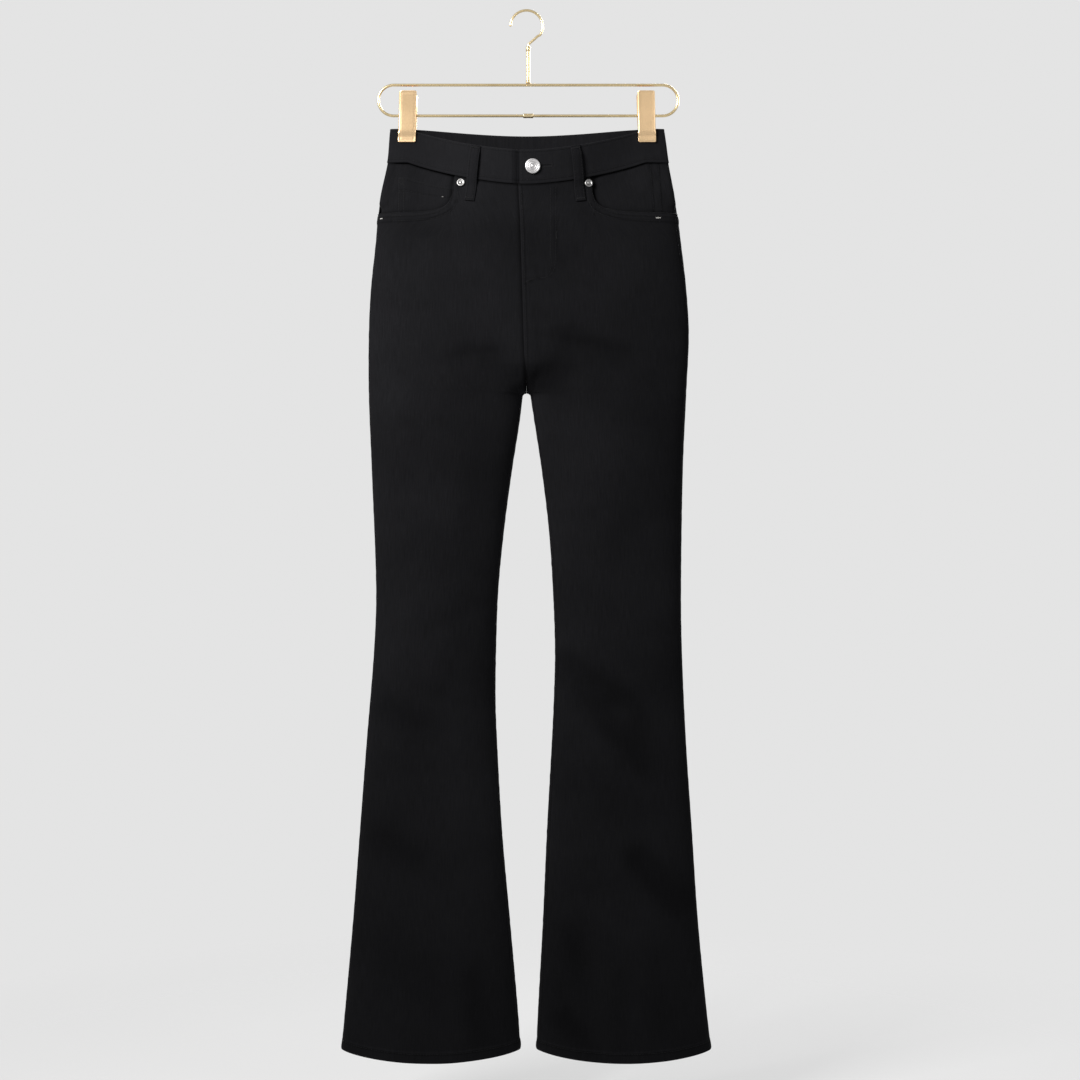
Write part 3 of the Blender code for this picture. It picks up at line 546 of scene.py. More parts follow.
def twill_group() -> bpy.types.NodeTree:
    """Diagonal twill lines, the threads across them, and slubs that run along the warp."""
    group = new_group("twill", {"Vector": ("Vector", None), "Pitch": ("Float", 0.0011)}, ("Height", "Shade"))
    bench = NodeBench(group)
    start, end = group.nodes["Group Input"], group.nodes["Group Output"]
    parts = bench.add("SeparateXYZ", {0: start.outputs["Vector"]})
    u, v = parts.outputs[0], parts.outputs[1]
    lean = bench.math("ADD", bench.math("MULTIPLY", u, 0.87), bench.math("MULTIPLY", v, 0.49))
    turns = bench.math("MULTIPLY", bench.math("DIVIDE", lean, start.outputs["Pitch"]), math.tau)
    fray = bench.add("TexNoise", {"Vector": start.outputs["Vector"], "Scale": 420.0, "Detail": 1.0})
    line = bench.math("SINE", bench.math("ADD", turns, bench.math("MULTIPLY", fray.outputs[0], 2.4)))
    weft = bench.math("SINE", bench.math("MULTIPLY", v, math.tau / 0.00052))
    stretched = bench.add("Mapping", {0: start.outputs["Vector"], 3: (900.0, 45.0, 1.0)})
    slub = bench.add("TexNoise", {"Vector": stretched.outputs[0], "Scale": 1.0, "Detail": 2.0, "Roughness": 0.6})
    height = bench.math("ADD", bench.math("MULTIPLY", line, 0.34), bench.math("MULTIPLY", weft, 0.10))
    height = bench.math("ADD", height, bench.math("MULTIPLY", slub.outputs[0], 0.5))
    shade = bench.math("ADD", bench.math("MULTIPLY", line, 0.10), bench.math("MULTIPLY", slub.outputs[0], 0.9))
    group.links.new(height, end.inputs["Height"])
    group.links.new(bench.math("ADD", shade, 0.05), end.inputs["Shade"])
    return group


def mottle_group() -> bpy.types.NodeTree:
    """Broad uneven patches over fine speckle, both round 0.5."""
    inputs = {"Vector": ("Vector", None), "Broad": ("Float", 9.0), "Fine": ("Float", 260.0)}
    group = new_group("mottle", inputs, ("Patches", "Speckle"))
    bench = NodeBench(group)
    start, end = group.nodes["Group Input"], group.nodes["Group Output"]
    for size, detail, label in (("Broad", 4.0, "Patches"), ("Fine", 2.0, "Speckle")):
        noise = bench.add(
            "TexNoise", {"Vector": start.outputs["Vector"], "Scale": start.outputs[size], "Detail": detail}
        )
        group.links.new(noise.outputs[0], end.inputs[label])
    return group


TWILL = twill_group()
MOTTLE = mottle_group()


class MetalWork(Enum):
    """How a metal's surface was finished, as the stretch of its marks along each axis."""

    POLISHED = (1.0, 1.0, 1.0)
    SATIN = (1.0, 1.0, 0.6)
    BRUSHED = (9.0, 9.0, 0.35)


@dataclass(frozen=True)
class Denim:
    """Black twill cotton: its colour, sheen, how much lighter it is where it rubs, and how far painted shade darkens
    it.
    """

    name: str = "black_denim_twill"
    colour: tuple[float, float, float] = (0.0098, 0.0098, 0.0110)
    worn_colour: tuple[float, float, float] = (0.0150, 0.0150, 0.0166)
    roughness: float = 0.86
    sheen: float = 0.030
    gloss: float = 0.025
    darkest_painted_shade: float = 0.28
    pitch: float = 0.0011
    relief: float = 0.00012

    def material(self) -> bpy.types.Material:
        """Build the material. It reads the pieces' own cut coordinates, and their attribute that is above 0 where the
        cloth is rubbed lighter and below 0 where shade is painted in.

        Returns:
            The new material.
        """
        made, bench = start_material(self.name)
        cut = bench.add("UVMap", uv_map="cut").outputs[0]
        place = bench.add("TexCoord").outputs["Object"]
        twill = bench.add("Group", {"Vector": cut, "Pitch": self.pitch}, node_tree=TWILL)
        patches, speckle = bench.mottle(place, 9.0, 260.0)
        wear = bench.add("Attribute", attribute_name="wear").outputs["Fac"]
        tone = bench.remap(patches, (0.3, 0.7), (0.80, 1.18))
        tone = bench.math("MULTIPLY", tone, bench.math("ADD", twill.outputs["Shade"], 0.50))
        tone = bench.math("ADD", tone, bench.remap(speckle, (0.58, 0.80), (0.0, 0.16)))
        # painted shade: below 0 the attribute darkens the colour, as far as the class's darkest share
        tone = bench.math("MULTIPLY", tone, bench.remap(wear, (-1.0, 0.0), (self.darkest_painted_shade, 1.0)))
        rubbed = bench.math("MULTIPLY", bench.math("MAXIMUM", wear, 0.0), bench.math("ADD", speckle, 0.35))
        grey = bench.add("CombineColor", {0: tone, 1: tone, 2: tone}).outputs[0]
        plain = bench.blend(1.0, (*self.colour, 1.0), grey, blend_type="MULTIPLY")
        bench.shade({
            "Base Color": bench.blend(rubbed, plain, (*self.worn_colour, 1.0)),
            "Roughness": bench.remap(twill.outputs["Shade"], (0.2, 0.9), (self.roughness, 0.97)),
            "Normal": bench.bump(twill.outputs["Height"], self.relief, 0.9),
            "Sheen Weight": self.sheen,
            "Sheen Roughness": 0.45,
            "Specular IOR Level": self.gloss,
        })
        return made


@dataclass(frozen=True)
class Thread:
    """Tonal sewing thread, a little glossier than the cloth."""

    name: str = "black_thread"
    colour: tuple[float, float, float] = (0.0104, 0.0104, 0.0115)
    roughness: float = 0.58
    gloss: float = 0.09

    def material(self) -> bpy.types.Material:
        """Build the material, with the thread's twist as a fine bump.

        Returns:
            The new material.
        """
        made, bench = start_material(self.name)
        patches, speckle = bench.mottle(bench.add("TexCoord").outputs["Object"], 55.0, 1900.0)
        tone = bench.remap(patches, (0.3, 0.7), (0.72, 1.35))
        bench.shade({
            "Base Color": bench.blend(tone, (0.004, 0.004, 0.0045, 1.0), (*self.colour, 1.0)),
            "Roughness": bench.remap(speckle, (0.3, 0.7), (self.roughness - 0.08, self.roughness + 0.1)),
            "Normal": bench.bump(speckle, 0.00008, 0.7),
            "Sheen Weight": 0.02,
            "Specular IOR Level": self.gloss,
        })
        return made


@dataclass(frozen=True)
class Metal:
    """A metal with its tarnish and the marks of how it was finished."""

    name: str
    colour: tuple[float, float, float]
    dark: tuple[float, float, float]
    roughness: float
    work: MetalWork
    relief: float = 0.00001

    def material(self) -> bpy.types.Material:
        """Build the material.

        Returns:
            The new material.
        """
        made, bench = start_material(self.name)
        along = bench.add("Mapping", {0: bench.add("TexCoord").outputs["Object"], 3: self.work.value}).outputs[0]
        patches, speckle = bench.mottle(along, 38.0, 640.0)
        stain = bench.remap(patches, (0.52, 0.82), (0.0, 0.55))
        bench.shade({
            "Base Color": bench.blend(stain, (*self.colour, 1.0), (*self.dark, 1.0)),
            "Roughness": bench.remap(speckle, (0.3, 0.7), (self.roughness - 0.05, self.roughness + 0.08)),
            "Normal": bench.bump(speckle, self.relief, 0.6),
            "Metallic": 1.0,
        })
        return made


@dataclass(frozen=True)
class StudioFloor:
    """A matt pale floor whose rim fades out."""

    name: str = "pale_floor"
    colour: tuple[float, float, float] = (0.30, 0.30, 0.30)
    glow: float = 0.50
    fade: tuple[float, float] = (0.55, 1.05)

    def material(self) -> bpy.types.Material:
        """Build the material.

        Returns:
            The new material.
        """
        made, bench = start_material(self.name)
        flat = bench.add("Mapping", {0: bench.add("TexCoord").outputs["Object"], 3: (1.0, 1.0, 0.0)}).outputs[0]
        reach = bench.add("VectorMath", {0: flat}, operation="LENGTH").outputs["Value"]
        bench.shade({
            "Base Color": (*self.colour, 1.0),
            "Roughness": 0.95,
            "Specular IOR Level": 0.0,
            "Emission Color": (1.0, 1.0, 1.0, 1.0),
            "Emission Strength": self.glow,
            "Alpha": bench.remap(reach, self.fade, (1.0, 0.0)),
        })
        return made


@dataclass
class Finishes:
    """Every finish on the object, made once."""

    denim: bpy.types.Material = field(init=False)
    thread: bpy.types.Material = field(init=False)
    pale_thread: bpy.types.Material = field(init=False)
    wire: bpy.types.Material = field(init=False)
    clip: bpy.types.Material = field(init=False)
    silver: bpy.types.Material = field(init=False)
    rivet: bpy.types.Material = field(init=False)
    spring: bpy.types.Material = field(init=False)

    def __post_init__(self) -> None:
        """Build the materials."""
        polished, satin, brushed = MetalWork
        plans = {
            "denim": Denim(),
            "thread": Thread(),
            "pale_thread": Thread("pale_thread", (0.62, 0.61, 0.58), 0.5, 0.3),
            "wire": Metal("pale_gilt_wire", (0.90, 0.72, 0.42), (0.62, 0.44, 0.20), 0.24, polished),
            "clip": Metal("satin_gilt_plate", (0.93, 0.66, 0.38), (0.82, 0.57, 0.31), 0.31, brushed),
            "silver": Metal("silvered_button", (0.66, 0.65, 0.65), (0.34, 0.33, 0.32), 0.43, satin),
            "rivet": Metal("dark_nickel_rivet", (0.30, 0.295, 0.29), (0.10, 0.10, 0.10), 0.36, satin),
            "spring": Metal("spring_wire", (0.66, 0.58, 0.42), (0.34, 0.29, 0.20), 0.34, satin),
        }
        for name, plan in plans.items():
            setattr(self, name, plan.material())


# ---- making pieces ---------------------------------------------------------------------------------
def new_object(name: str, mesh: bpy.types.Mesh) -> bpy.types.Object:
    """An object in the scene that holds a mesh."""
    made = bpy.data.objects.new(name, mesh)
    bpy.context.scene.collection.objects.link(made)
    return made


def dress(made: bpy.types.Object, material: bpy.types.Material, node: str, sharp: float) -> None:
    """Give a piece its shading and finish, and seat it on the body.

    Args:
        made: The piece.
        material: Its finish.
        node: The CAD node that it stands for, or nothing.
        sharp: Edges sharper than this many degrees stay sharp.
    """
    mesh = made.data
    mesh.shade_smooth()
    mesh.set_sharp_from_angle(angle=math.radians(sharp))
    mesh.materials.clear()
    mesh.materials.append(material)
    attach(made, BODY)
    if node:
        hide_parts(node)
    log.info("%s: %d faces", made.name, len(mesh.polygons))


def finish_piece(
    name: str, bm: bmesh.types.BMesh, material: bpy.types.Material, node: str = "", sharp: float = 38.0
) -> bpy.types.Object:
    """Turn a bmesh into a dressed piece.

    Args:
        name: The piece's name.
        bm: Its mesh, which is freed.
        material: Its finish.
        node: The CAD node that it stands for, or nothing.
        sharp: Edges sharper than this many degrees stay sharp.

    Returns:
        The new object.
    """
    mesh = bpy.data.meshes.new(name)
    bm.to_mesh(mesh)
    bm.free()
    made = new_object(name, mesh)
    dress(made, material, node, sharp)
    return made


def turned_piece(
    name: str,
    node: str,
    section: Sequence[tuple[float, float]],
    place: Matrix,
    steps: int,
    look: tuple[bpy.types.Material, str, float],
    closed: bool = False,
) -> bpy.types.Object:
    """Spin a section about +Z and put the piece in its place.

    Args:
        name: The piece's name.
        node: The CAD node that it stands for.
        section: Radius and height of each point.
        place: Puts it in place.
        steps: Steps in the turn.
        look: Its finish, its material slot and the angle from which its edges stay sharp.
        closed: Whether the section is a closed ring, as a sleeve's is.

    Returns:
        The finished piece.
    """
    bm = bmesh.new()
    verts = [bm.verts.new((r, 0.0, h)) for r, h in section]
    pairs = list(zip(verts, verts[1:])) + ([(verts[-1], verts[0])] if closed else [])
    geom = verts + [bm.edges.new(pair) for pair in pairs]
    bmesh.ops.spin(bm, geom=geom, cent=(0, 0, 0), axis=(0, 0, 1), angle=math.tau, steps=steps, use_merge=True)
    bmesh.ops.remove_doubles(bm, verts=bm.verts, dist=2e-6)
    bmesh.ops.recalc_face_normals(bm, faces=bm.faces)
    bm.transform(place)
    material, slot, sharp = look
    return finish_piece(name, bm, material, node, sharp)


def laid_grid(points: Array, cut: Array, upward: bool = False) -> tuple[bmesh.types.BMesh, list[tuple[int, int]]]:
    """A grid of faces moved onto a sheet's places, with its cut coordinates.

    Args:
        points: The places, columns by rows.
        cut: Each place's coordinates on the flat cloth.
        upward: Whether the rows run up the flat grid.

    Returns:
        The mesh, and each vertex's column and row.
    """
    columns, rows = points.shape[:2]
    way = 1 if upward else -1
    bm = bmesh.new()
    layer = bm.loops.layers.uv.new("cut")
    bmesh.ops.create_grid(bm, x_segments=columns - 1, y_segments=rows - 1, size=0.5)
    bm.verts.ensure_lookup_table()
    at = [(round((v.co.x + 0.5) * (columns - 1)), round((0.5 + way * v.co.y) * (rows - 1))) for v in bm.verts]
    for vert, place in zip(bm.verts, at):
        vert.co = points[place]
    for face in bm.faces:
        for loop in face.loops:
            loop[layer].uv = cut[at[loop.vert.index]]
    return bm, at


@dataclass
class Sheet:
    """A sheet of cloth on a grid of places, with the size that it was cut to."""

    points: Array
    wear: Array
    thickness: float
    thin_at: Array | None = None

    def cut_coordinates(self) -> Array:
        """Distances along the cloth, across and down, in metres, for each place of the grid."""
        u = across_lengths(self.points)
        v = across_lengths(self.points.swapaxes(0, 1)).T
        u -= u[-1:] / 2
        v -= v[:, -1:]
        return np.stack((u, v), axis=-1)

    def flat_size(self) -> tuple[float, float, float]:
        """Width, length and area of the cut, in metres and square metres."""
        cut = self.cut_coordinates()
        a = self.points[1:, 1:] - self.points[:-1, :-1]
        b = self.points[:-1, 1:] - self.points[1:, :-1]
        area = float(np.linalg.norm(np.cross(a, b), axis=2).sum() / 2)
        width = float(np.ptp(cut[..., 0], axis=0).max())
        length = max(float(np.ptp(cut[..., 1], axis=1).max()), area / width)
        return width, length, area

    def build(self, node: str, facing: int, denim: bpy.types.Material, rests_on: str) -> bpy.types.Object:
        """Make the closed sheet: a grid moved into place, then given its thickness inward.

        Args:
            node: The CAD node that it stands for.
            facing: The side of Y that its outer surface looks to.
            denim: Its finish.
            rests_on: The piece that it hangs from; it is not used.

        Returns:
            The finished piece.
        """
        bm, at = laid_grid(self.points, self.cut_coordinates())
        bm.normal_update()
        if sum(f.normal.y * f.calc_area() for f in bm.faces) * facing < 0:
            bmesh.ops.reverse_faces(bm, faces=bm.faces)
        name = f"{node}_denim"
        mesh = bpy.data.meshes.new(name)
        bm.to_mesh(mesh)
        bm.free()
        # the attribute carries each place's rubbing (above 0) and its painted shade (below 0)
        rubbing_and_shade_attribute = mesh.attributes.new("wear", "FLOAT", "POINT")
        wear = np.clip(self.wear, -1, 1)
        rubbing_and_shade_attribute.data.foreach_set("value", np.array([wear[place] for place in at], np.float32))
        made = new_object(name, mesh)
        shell = made.modifiers.new("thickness", "SOLIDIFY")
        shell.thickness, shell.offset = self.thickness, -1.0
        if self.thin_at is not None:
            group = made.vertex_groups.new(name="thick")
            shell.vertex_group, shell.thickness_vertex_group = "thick", 0.0
            values = np.array([self.thin_at[place] for place in at])
            for value in np.unique(values):
                group.add([int(k) for k in np.flatnonzero(values == value)], float(value), "REPLACE")
        bpy.context.view_layer.update()
        solid = bpy.data.meshes.new_from_object(made.evaluated_get(bpy.context.evaluated_depsgraph_get()))
        made.modifiers.clear()
        made.vertex_groups.clear()
        made.data = solid
        solid.name = name
        dress(made, denim, node, 50)
        width, length, area = self.flat_size()
        log.info("%s: cut %.0f x %.0f mm, %.4f m2", name, width * 1e3, length * 1e3, area)
        return made


SEWN_ON: dict[str, list[bpy.types.Object]] = {}


@dataclass
class Sewing:
    """Rows of thread laid on the finished cloth, each stitch a small mesh of its own."""

    thread: bpy.types.Material
    work: str = "stitches"
    pitch: float = 0.0032
    length: float = 0.0026
    width: float = 0.00056
    height: float = 0.00040
    sunk: float = 0.00004
    trees: dict[str, BVHTree] = field(default_factory=dict)
    beds: dict[str, bmesh.types.BMesh] = field(default_factory=dict)
    plain: bpy.types.Mesh = field(init=False)
    count: int = 0

    def __post_init__(self) -> None:
        """Make the plain stitch that every stitch is a copy of: a long bead, 2 across before it is sized."""
        bm = bmesh.new()
        turn = Matrix.Rotation(math.pi / 2, 4, "Y")
        bmesh.ops.create_uvsphere(bm, u_segments=6, v_segments=5, radius=1.0, matrix=turn)
        self.plain = bpy.data.meshes.new("plain_stitch")
        bm.to_mesh(self.plain)
        bm.free()

    def tree(self, cloth: bpy.types.Object) -> BVHTree:
        """The search tree of a piece of cloth, made once."""
        if cloth.name not in self.trees:
            mesh = cloth.data
            points = np.empty(len(mesh.vertices) * 3)
            mesh.vertices.foreach_get("co", points)
            faces = [tuple(f.vertices) for f in mesh.polygons]
            self.trees[cloth.name] = BVHTree.FromPolygons([Vector(p) for p in points.reshape(-1, 3)], faces)
        return self.trees[cloth.name]

    def stitch(self, cloth: bpy.types.Object, start: Vector, end: Vector, narrow: float = 1.0) -> None:
        """Lay one stitch on the cloth.

        Args:
            cloth: The piece that it is sewn into.
            start: One end, near the cloth's outer surface.
            end: The other end.
            narrow: Its width as a share of a plain stitch's.
        """
        tree = self.tree(cloth)
        ends = [tree.find_nearest(p, 0.012) for p in (start, end)]
        if ends[0][0] is None or ends[1][0] is None:
            return
        run = ends[1][0] - ends[0][0]
        if not 0.2 * (end - start).length < run.length < 1.6 * (end - start).length + 1e-5:
            return
        normal = (ends[0][1] + ends[1][1]).normalized()
        along = run.normalized()
        beside = normal.cross(along).normalized()
        normal = along.cross(beside)
        turn = Matrix((along, beside, normal)).transposed().to_4x4()
        centre = (ends[0][0] + ends[1][0]) / 2 + normal * (self.height * 0.5 - self.sunk) * 0.6
        size = (run.length / 2 + 0.0001, self.width * narrow / 2, self.height / 2)
        place = Matrix.Translation(centre) @ turn @ Matrix.Diagonal((*size, 1.0))
        if cloth.name not in self.beds:
            self.beds[cloth.name] = bmesh.new()
        laid = self.plain.copy()
        laid.transform(place)
        self.beds[cloth.name].from_mesh(laid)
        bpy.data.meshes.remove(laid)
        self.count += 1

    def row(self, cloth: bpy.types.Object, line: Array) -> None:
        """Sew one row along a line of points close over the cloth's outer surface."""
        steps = run_lengths(line)
        count = max(int(steps[-1] / self.pitch), 1)
        starts = np.arange(count) * steps[-1] / count
        for start in starts:
            ends = [Vector([np.interp(s, steps, line[:, k]) for k in range(3)]) for s in (start, start + self.length)]
            self.stitch(cloth, *ends)

    def bartack(self, cloth: bpy.types.Object, line: Array, across: Array, spacing: float = 0.00062) -> None:
        """Sew a dense bar of short stitches across a line.

        Args:
            cloth: The piece that it is sewn into.
            line: The bar's two ends.
            across: The direction and length of its stitches.
            spacing: How far apart they lie.
        """
        count = max(int(np.linalg.norm(line[1] - line[0]) / spacing), 2)
        for i in range(count + 1):
            middle = line[0] + (line[1] - line[0]) * i / count
            tilt = (line[1] - line[0]) / count * 0.5
            self.stitch(cloth, Vector(middle - across / 2 - tilt), Vector(middle + across / 2 + tilt), 0.95)

    def finish(self) -> None:
        """Turn each piece's rows into one piece of thread work."""
        for name, bed in self.beds.items():
            thread = finish_piece(f"{name.removesuffix('_denim')}_{self.work}", bed, self.thread, sharp=85)
            SEWN_ON.setdefault(name, []).append(thread)
        log.info("stitches: %d", self.count)


def unseen_line(points: Sequence[tuple[float, float]], count: int = 40) -> Array:
    """A smooth line through a few points of a plane, as many points as asked."""
    points = np.array(points, float)
    steps = run_lengths(points)
    at = np.linspace(0, steps[-1], count)
    return np.stack([Track(steps, points[:, k]).at(at) for k in (0, 1)], axis=1)


# ---- legs ------------------------------------------------------------------------------------------
@dataclass
class LegPanels:
    """The four panels from the waist to the hems, with their seams, puckers and turned-up hems."""

    finishes: Finishes
    sewing: Sewing
    tacking: Sewing
    mouth_power: float = 4.6
    mouth_depth: float = 0.062
    mouth_x: dict[Leg, float] = field(default_factory=lambda: {Leg.RIGHT: -0.0895, Leg.LEFT: 0.0775})
    yoke_side: float = 0.038
    yoke_middle: float = 0.068
    tuck: float = 0.0012
    hem_lift: float = 0.0005
    hem_thick: float = 0.0024
    fell_width: float = 0.0098
    fell_lift: float = 0.00038
    fly_lap: float = 0.0013
    trough_shade: float = 0.42
    trough_spread: float = 2.1
    full_trough: float = 0.0034
    hem_shade: float = 0.48
    fly_lift: float = 0.00075
    fly_seen: tuple[tuple[float, float], ...] = (
        (0.0318, 0.0722),
        (0.0318, 0.120),
        (0.0314, 0.160),
        (0.0290, 0.170),
        (0.0225, 0.1765),
        (0.0100, 0.1800),
        (-0.0030, 0.1850),
    )
    pucker: float = 0.00020
    hem_rows_up: float = 0.0106
    cloths: dict[tuple[Leg, Face], bpy.types.Object] = field(default_factory=dict)

    def mouth_down(self, leg: Leg, u: Array) -> Array:
        """The front's top edge: the waist seam, cut away by the round pocket mouth."""
        low = FORM.band_height + self.mouth_depth
        x = FORM.place(leg, Face.FRONT, u, np.full(np.shape(u), low))[..., 0]
        edge = float(FORM.outseam[leg].at(low))
        share = np.clip(leg.value * (x - self.mouth_x[leg]) / abs(edge - self.mouth_x[leg]), 0.0, 1.0)
        return FORM.band_height + self.mouth_depth * (1 - (1 - share) ** self.mouth_power) ** (1 / self.mouth_power)

    def mouth_line(self, leg: Leg, inset: float = 0.0, start: float = 0.0, end: float = 1.0) -> Array:
        """The mouth's edge in x and down, moved into the front by an inset."""
        low = FORM.band_height + self.mouth_depth
        edge, corner = float(FORM.outseam[leg].at(low)), self.mouth_x[leg]
        angle = np.linspace(start, end, 70) * math.pi / 2
        power = 2 / self.mouth_power
        across = (abs(edge - corner) + inset) * (1 - np.cos(angle) ** power) - inset
        down = FORM.band_height + (self.mouth_depth + inset) * np.sin(angle) ** power
        return np.stack((corner + leg.value * across, down), axis=1)

    def yoke_seam(self, leg: Leg, u: Array) -> Array:
        """The yoke is deeper at the centre back than at the side."""
        low = FORM.band_height + self.yoke_side
        x = FORM.place(leg, Face.BACK, u, np.full(np.shape(u), low))[..., 0]
        share = leg.value * (x - FORM.centre_x) / abs(float(FORM.outseam[leg].at(low)) - FORM.centre_x)
        return FORM.band_height + self.yoke_middle + (self.yoke_side - self.yoke_middle) * share

    def fly_line(self) -> Array:
        """The curved row of stitches that closes the fly, in x and down."""
        seen = unseen_line(self.fly_seen, 60)
        return np.stack((seen[:, 0], FORM.down_seen(Face.FRONT, seen[:, 0], seen[:, 1])), axis=1)

    def fly_row(self, inset: float) -> Array:
        """One row of the fly's curve, in x and down; the rows meet at its foot."""
        line = self.fly_line()
        line[:, 0] -= inset * smooth(0.0, 0.5, 1 - np.arange(len(line)) / len(line))
        return line

    def columns(self, leg: Leg, face: Face) -> Array:
        """Shares across a panel, close together along its edges and where the mouth turns."""
        middle = np.linspace(0.03, 0.93, 56)
        edges = np.concatenate((np.linspace(0, 0.03, 5)[:-1], np.linspace(0.93, 1.0, 13)[1:]))
        us = np.concatenate((middle, edges))
        if face is Face.FRONT:
            low = FORM.band_height + self.mouth_depth
            shares = np.array((0.0, 0.0006, 0.002, 0.005, 0.010, 0.018, 0.03, 0.045, 0.065, 0.09, 0.12, 0.16, 0.21))
            edge = float(FORM.outseam[leg].at(low))
            x = self.mouth_x[leg] + shares * (edge - self.mouth_x[leg])
            turn = FORM.across(leg, face, x, np.full(x.shape, low))
            us = us[(us < turn.min() - 0.008) | (us > turn.max() + 0.004)]
            us = np.concatenate((us, turn))
        return np.sort(us)

    def rows(self, face: Face, top: Array, hem: Array) -> Array:
        """Distances down for each column, from its top edge to the hem.

        Args:
            face: The face.
            top: Each column's top edge.
            hem: Each column's hem.

        Returns:
            A grid of distances, columns by rows.
        """
        crease = FORM.front_crease if face is Face.FRONT else FORM.back_crease
        crotch, arch = FORM.crotch_down, FORM.crotch_arch
        level = 0.130
        bunched = crotch - crease * (1 - np.sin(np.linspace(0, math.pi / 2, 25)))
        first = np.array((0.0, 0.0006, 0.0014, 0.0025, 0.0045, 0.0065, 0.0085, 0.0105, 0.0125))
        parts = [top[:, None] + first[None, :]]
        share = np.linspace(0, 1, 34)[1:]
        start = top[:, None] + first[-1]
        parts.append(start + (level - start) * share[None, :])

        def fixed(values: Array) -> None:
            """Add rows that lie at the same distances in every column."""
            parts.append(np.broadcast_to(values, (len(top), len(values))))

        fixed(np.linspace(level, crotch - crease, 46)[1:-1])
        fixed(bunched)
        fixed(crotch + arch * np.array((0.08, 0.25, 0.5, 0.75, 1.0, 1.5, 2.2)))
        fixed(np.linspace(crotch + arch * 2.2, 0.345, 10)[1:])
        fixed(np.linspace(0.345, FORM.hem_down - 0.034, 150)[1:])
        share = np.concatenate((np.linspace(0.0, 0.5, 7)[1:], np.linspace(0.5, 1.0, 20)[1:]))
        low = FORM.hem_down - 0.034
        parts.append(low + (hem[:, None] - low) * share[None, :])
        return np.concatenate(parts, axis=1)

    def panel(self, leg: Leg, face: Face) -> bpy.types.Object:
        """Build one panel.

        Args:
            leg: The leg.
            face: The face.

        Returns:
            The finished piece.
        """
        us = self.columns(leg, face)
        top = self.mouth_down(leg, us) if face is Face.FRONT else self.yoke_seam(leg, us)
        tucked = top - self.tuck
        hem = FORM.hem(us)
        downs = self.rows(face, tucked, hem)
        u = np.broadcast_to(us[:, None], downs.shape)
        base = FORM.place(leg, face, u, downs)
        from_out = across_lengths(base)
        from_in = from_out[-1:] - from_out
        x = base[..., 0]
        to_hem = hem[:, None] - downs
        seed = 30 + leg.value + 10 * face.value
        lift = np.zeros(downs.shape)
        wear = np.zeros(downs.shape)
        on_leg = smooth(FORM.crotch_down - 0.01, FORM.crotch_down + 0.02, downs)

        # the seams roll in at the panel's long edges
        lift -= 0.0007 * bump(from_out, 0.0016)
        lift -= 0.0006 * bump(from_in, 0.0014) * on_leg
        lift += self.pucker * 0.6 * ripple(downs, 0.016, seed) * bump(from_out, 0.010)

        # the inseam is felled towards the front, with a row of stitches along it
        if face is Face.FRONT:
            fell = on_leg * (1 - smooth(self.fell_width - 0.0006, self.fell_width + 0.0006, from_in))
            lift += self.fell_lift * fell * smooth(0.0, 0.0015, from_in)
            lift -= 0.00022 * bump(from_in - self.fell_width + 0.0012, 0.0008) * on_leg
            # the fell's edge is rubbed lighter, and painted shade darkens the groove of its row
            wear += 0.20 * bump(from_in - self.fell_width, 0.0012) * on_leg
            wear -= 0.55 * bump(from_in - self.fell_width + 0.0012, 0.0010) * on_leg
        lift += self.pucker * ripple(downs, 0.013, seed + 1) * bump(from_in - 0.006, 0.009) * on_leg

        # the hem is turned up twice: it is thicker, ropes a little, and has a row of stitches
        turned = 1 - smooth(self.hem_rows_up + 0.0008, self.hem_rows_up + 0.0020, to_hem)
        lift += self.hem_lift * turned
        lift -= 0.00030 * bump(to_hem - self.hem_rows_up, 0.0009)
        slant = from_out + to_hem * 0.8
        lift += 0.00030 * ripple(slant, 0.0125, seed + 2) * turned * smooth(0.0, 0.002, to_hem)
        lift += 0.00018 * ripple(slant, 0.0125, seed + 2) * bump(to_hem - 0.016, 0.006)
        lift -= 0.0005 * bump(to_hem, 0.0010)
        # the hem's folded edges are rubbed lighter; painted shade darkens the groove of its row and the outseam
        wear += 0.45 * bump(to_hem, 0.0013) + 0.35 * bump(to_hem - self.hem_rows_up - 0.0016, 0.0012)
        wear -= 0.60 * bump(to_hem - self.hem_rows_up, 0.0010)
        wear -= 0.50 * bump(from_out, 0.0022)

        if face is Face.FRONT:
            lift, wear = self.front_details(leg, x, downs, from_in, lift, wear)
        else:
            lift, wear = self.back_details(leg, downs, tucked, from_in, lift, wear, seed)
        # painted shade darkens the cloth in the troughs of its folds, and its colour grows darker towards the hem
        troughs = FORM.fold_depth(face, x, downs, self.trough_spread) / self.full_trough
        wear -= self.trough_shade * smooth(0.05, 1.3, troughs)
        wear -= self.hem_shade * smooth(0.62, 1.12, downs)
        points = FORM.place(leg, face, u, downs, lift)
        self.soften_crotch(leg, face, points, downs, lift)
        if face is Face.FRONT and leg is Leg.LEFT:
            points[..., 0] -= self.fly_lap * bump(from_in, 0.0035) * (1 - smooth(*LAP_ENDS, downs))
        self.hold_clear(leg, face, points, downs)
        thick = FORM.cloth_thickness + (self.hem_thick - FORM.cloth_thickness) * turned
        sheet = Sheet(points, wear, self.hem_thick, np.round(thick / self.hem_thick, 2))
        rests = "waistband_denim" if face is Face.FRONT else f"back_yoke_{leg.side}_denim"
        made = sheet.build(f"{face.name.lower()}_{leg.side}", face.value, self.finishes.denim, rests)
        self.cloths[leg, face] = made
        return made

    def soften_crotch(self, leg: Leg, face: Face, points: Array, downs: Array, lift: Array) -> None:
        """Ease the fall of the cloth above the crotch, away from the seam itself."""
        x = points[..., 0]
        reach = np.abs(x - FORM.inner_edge(leg, face, downs))
        share = bump(downs - FORM.crotch_down + 0.006, 0.040) * smooth(0.003, 0.026, reach)
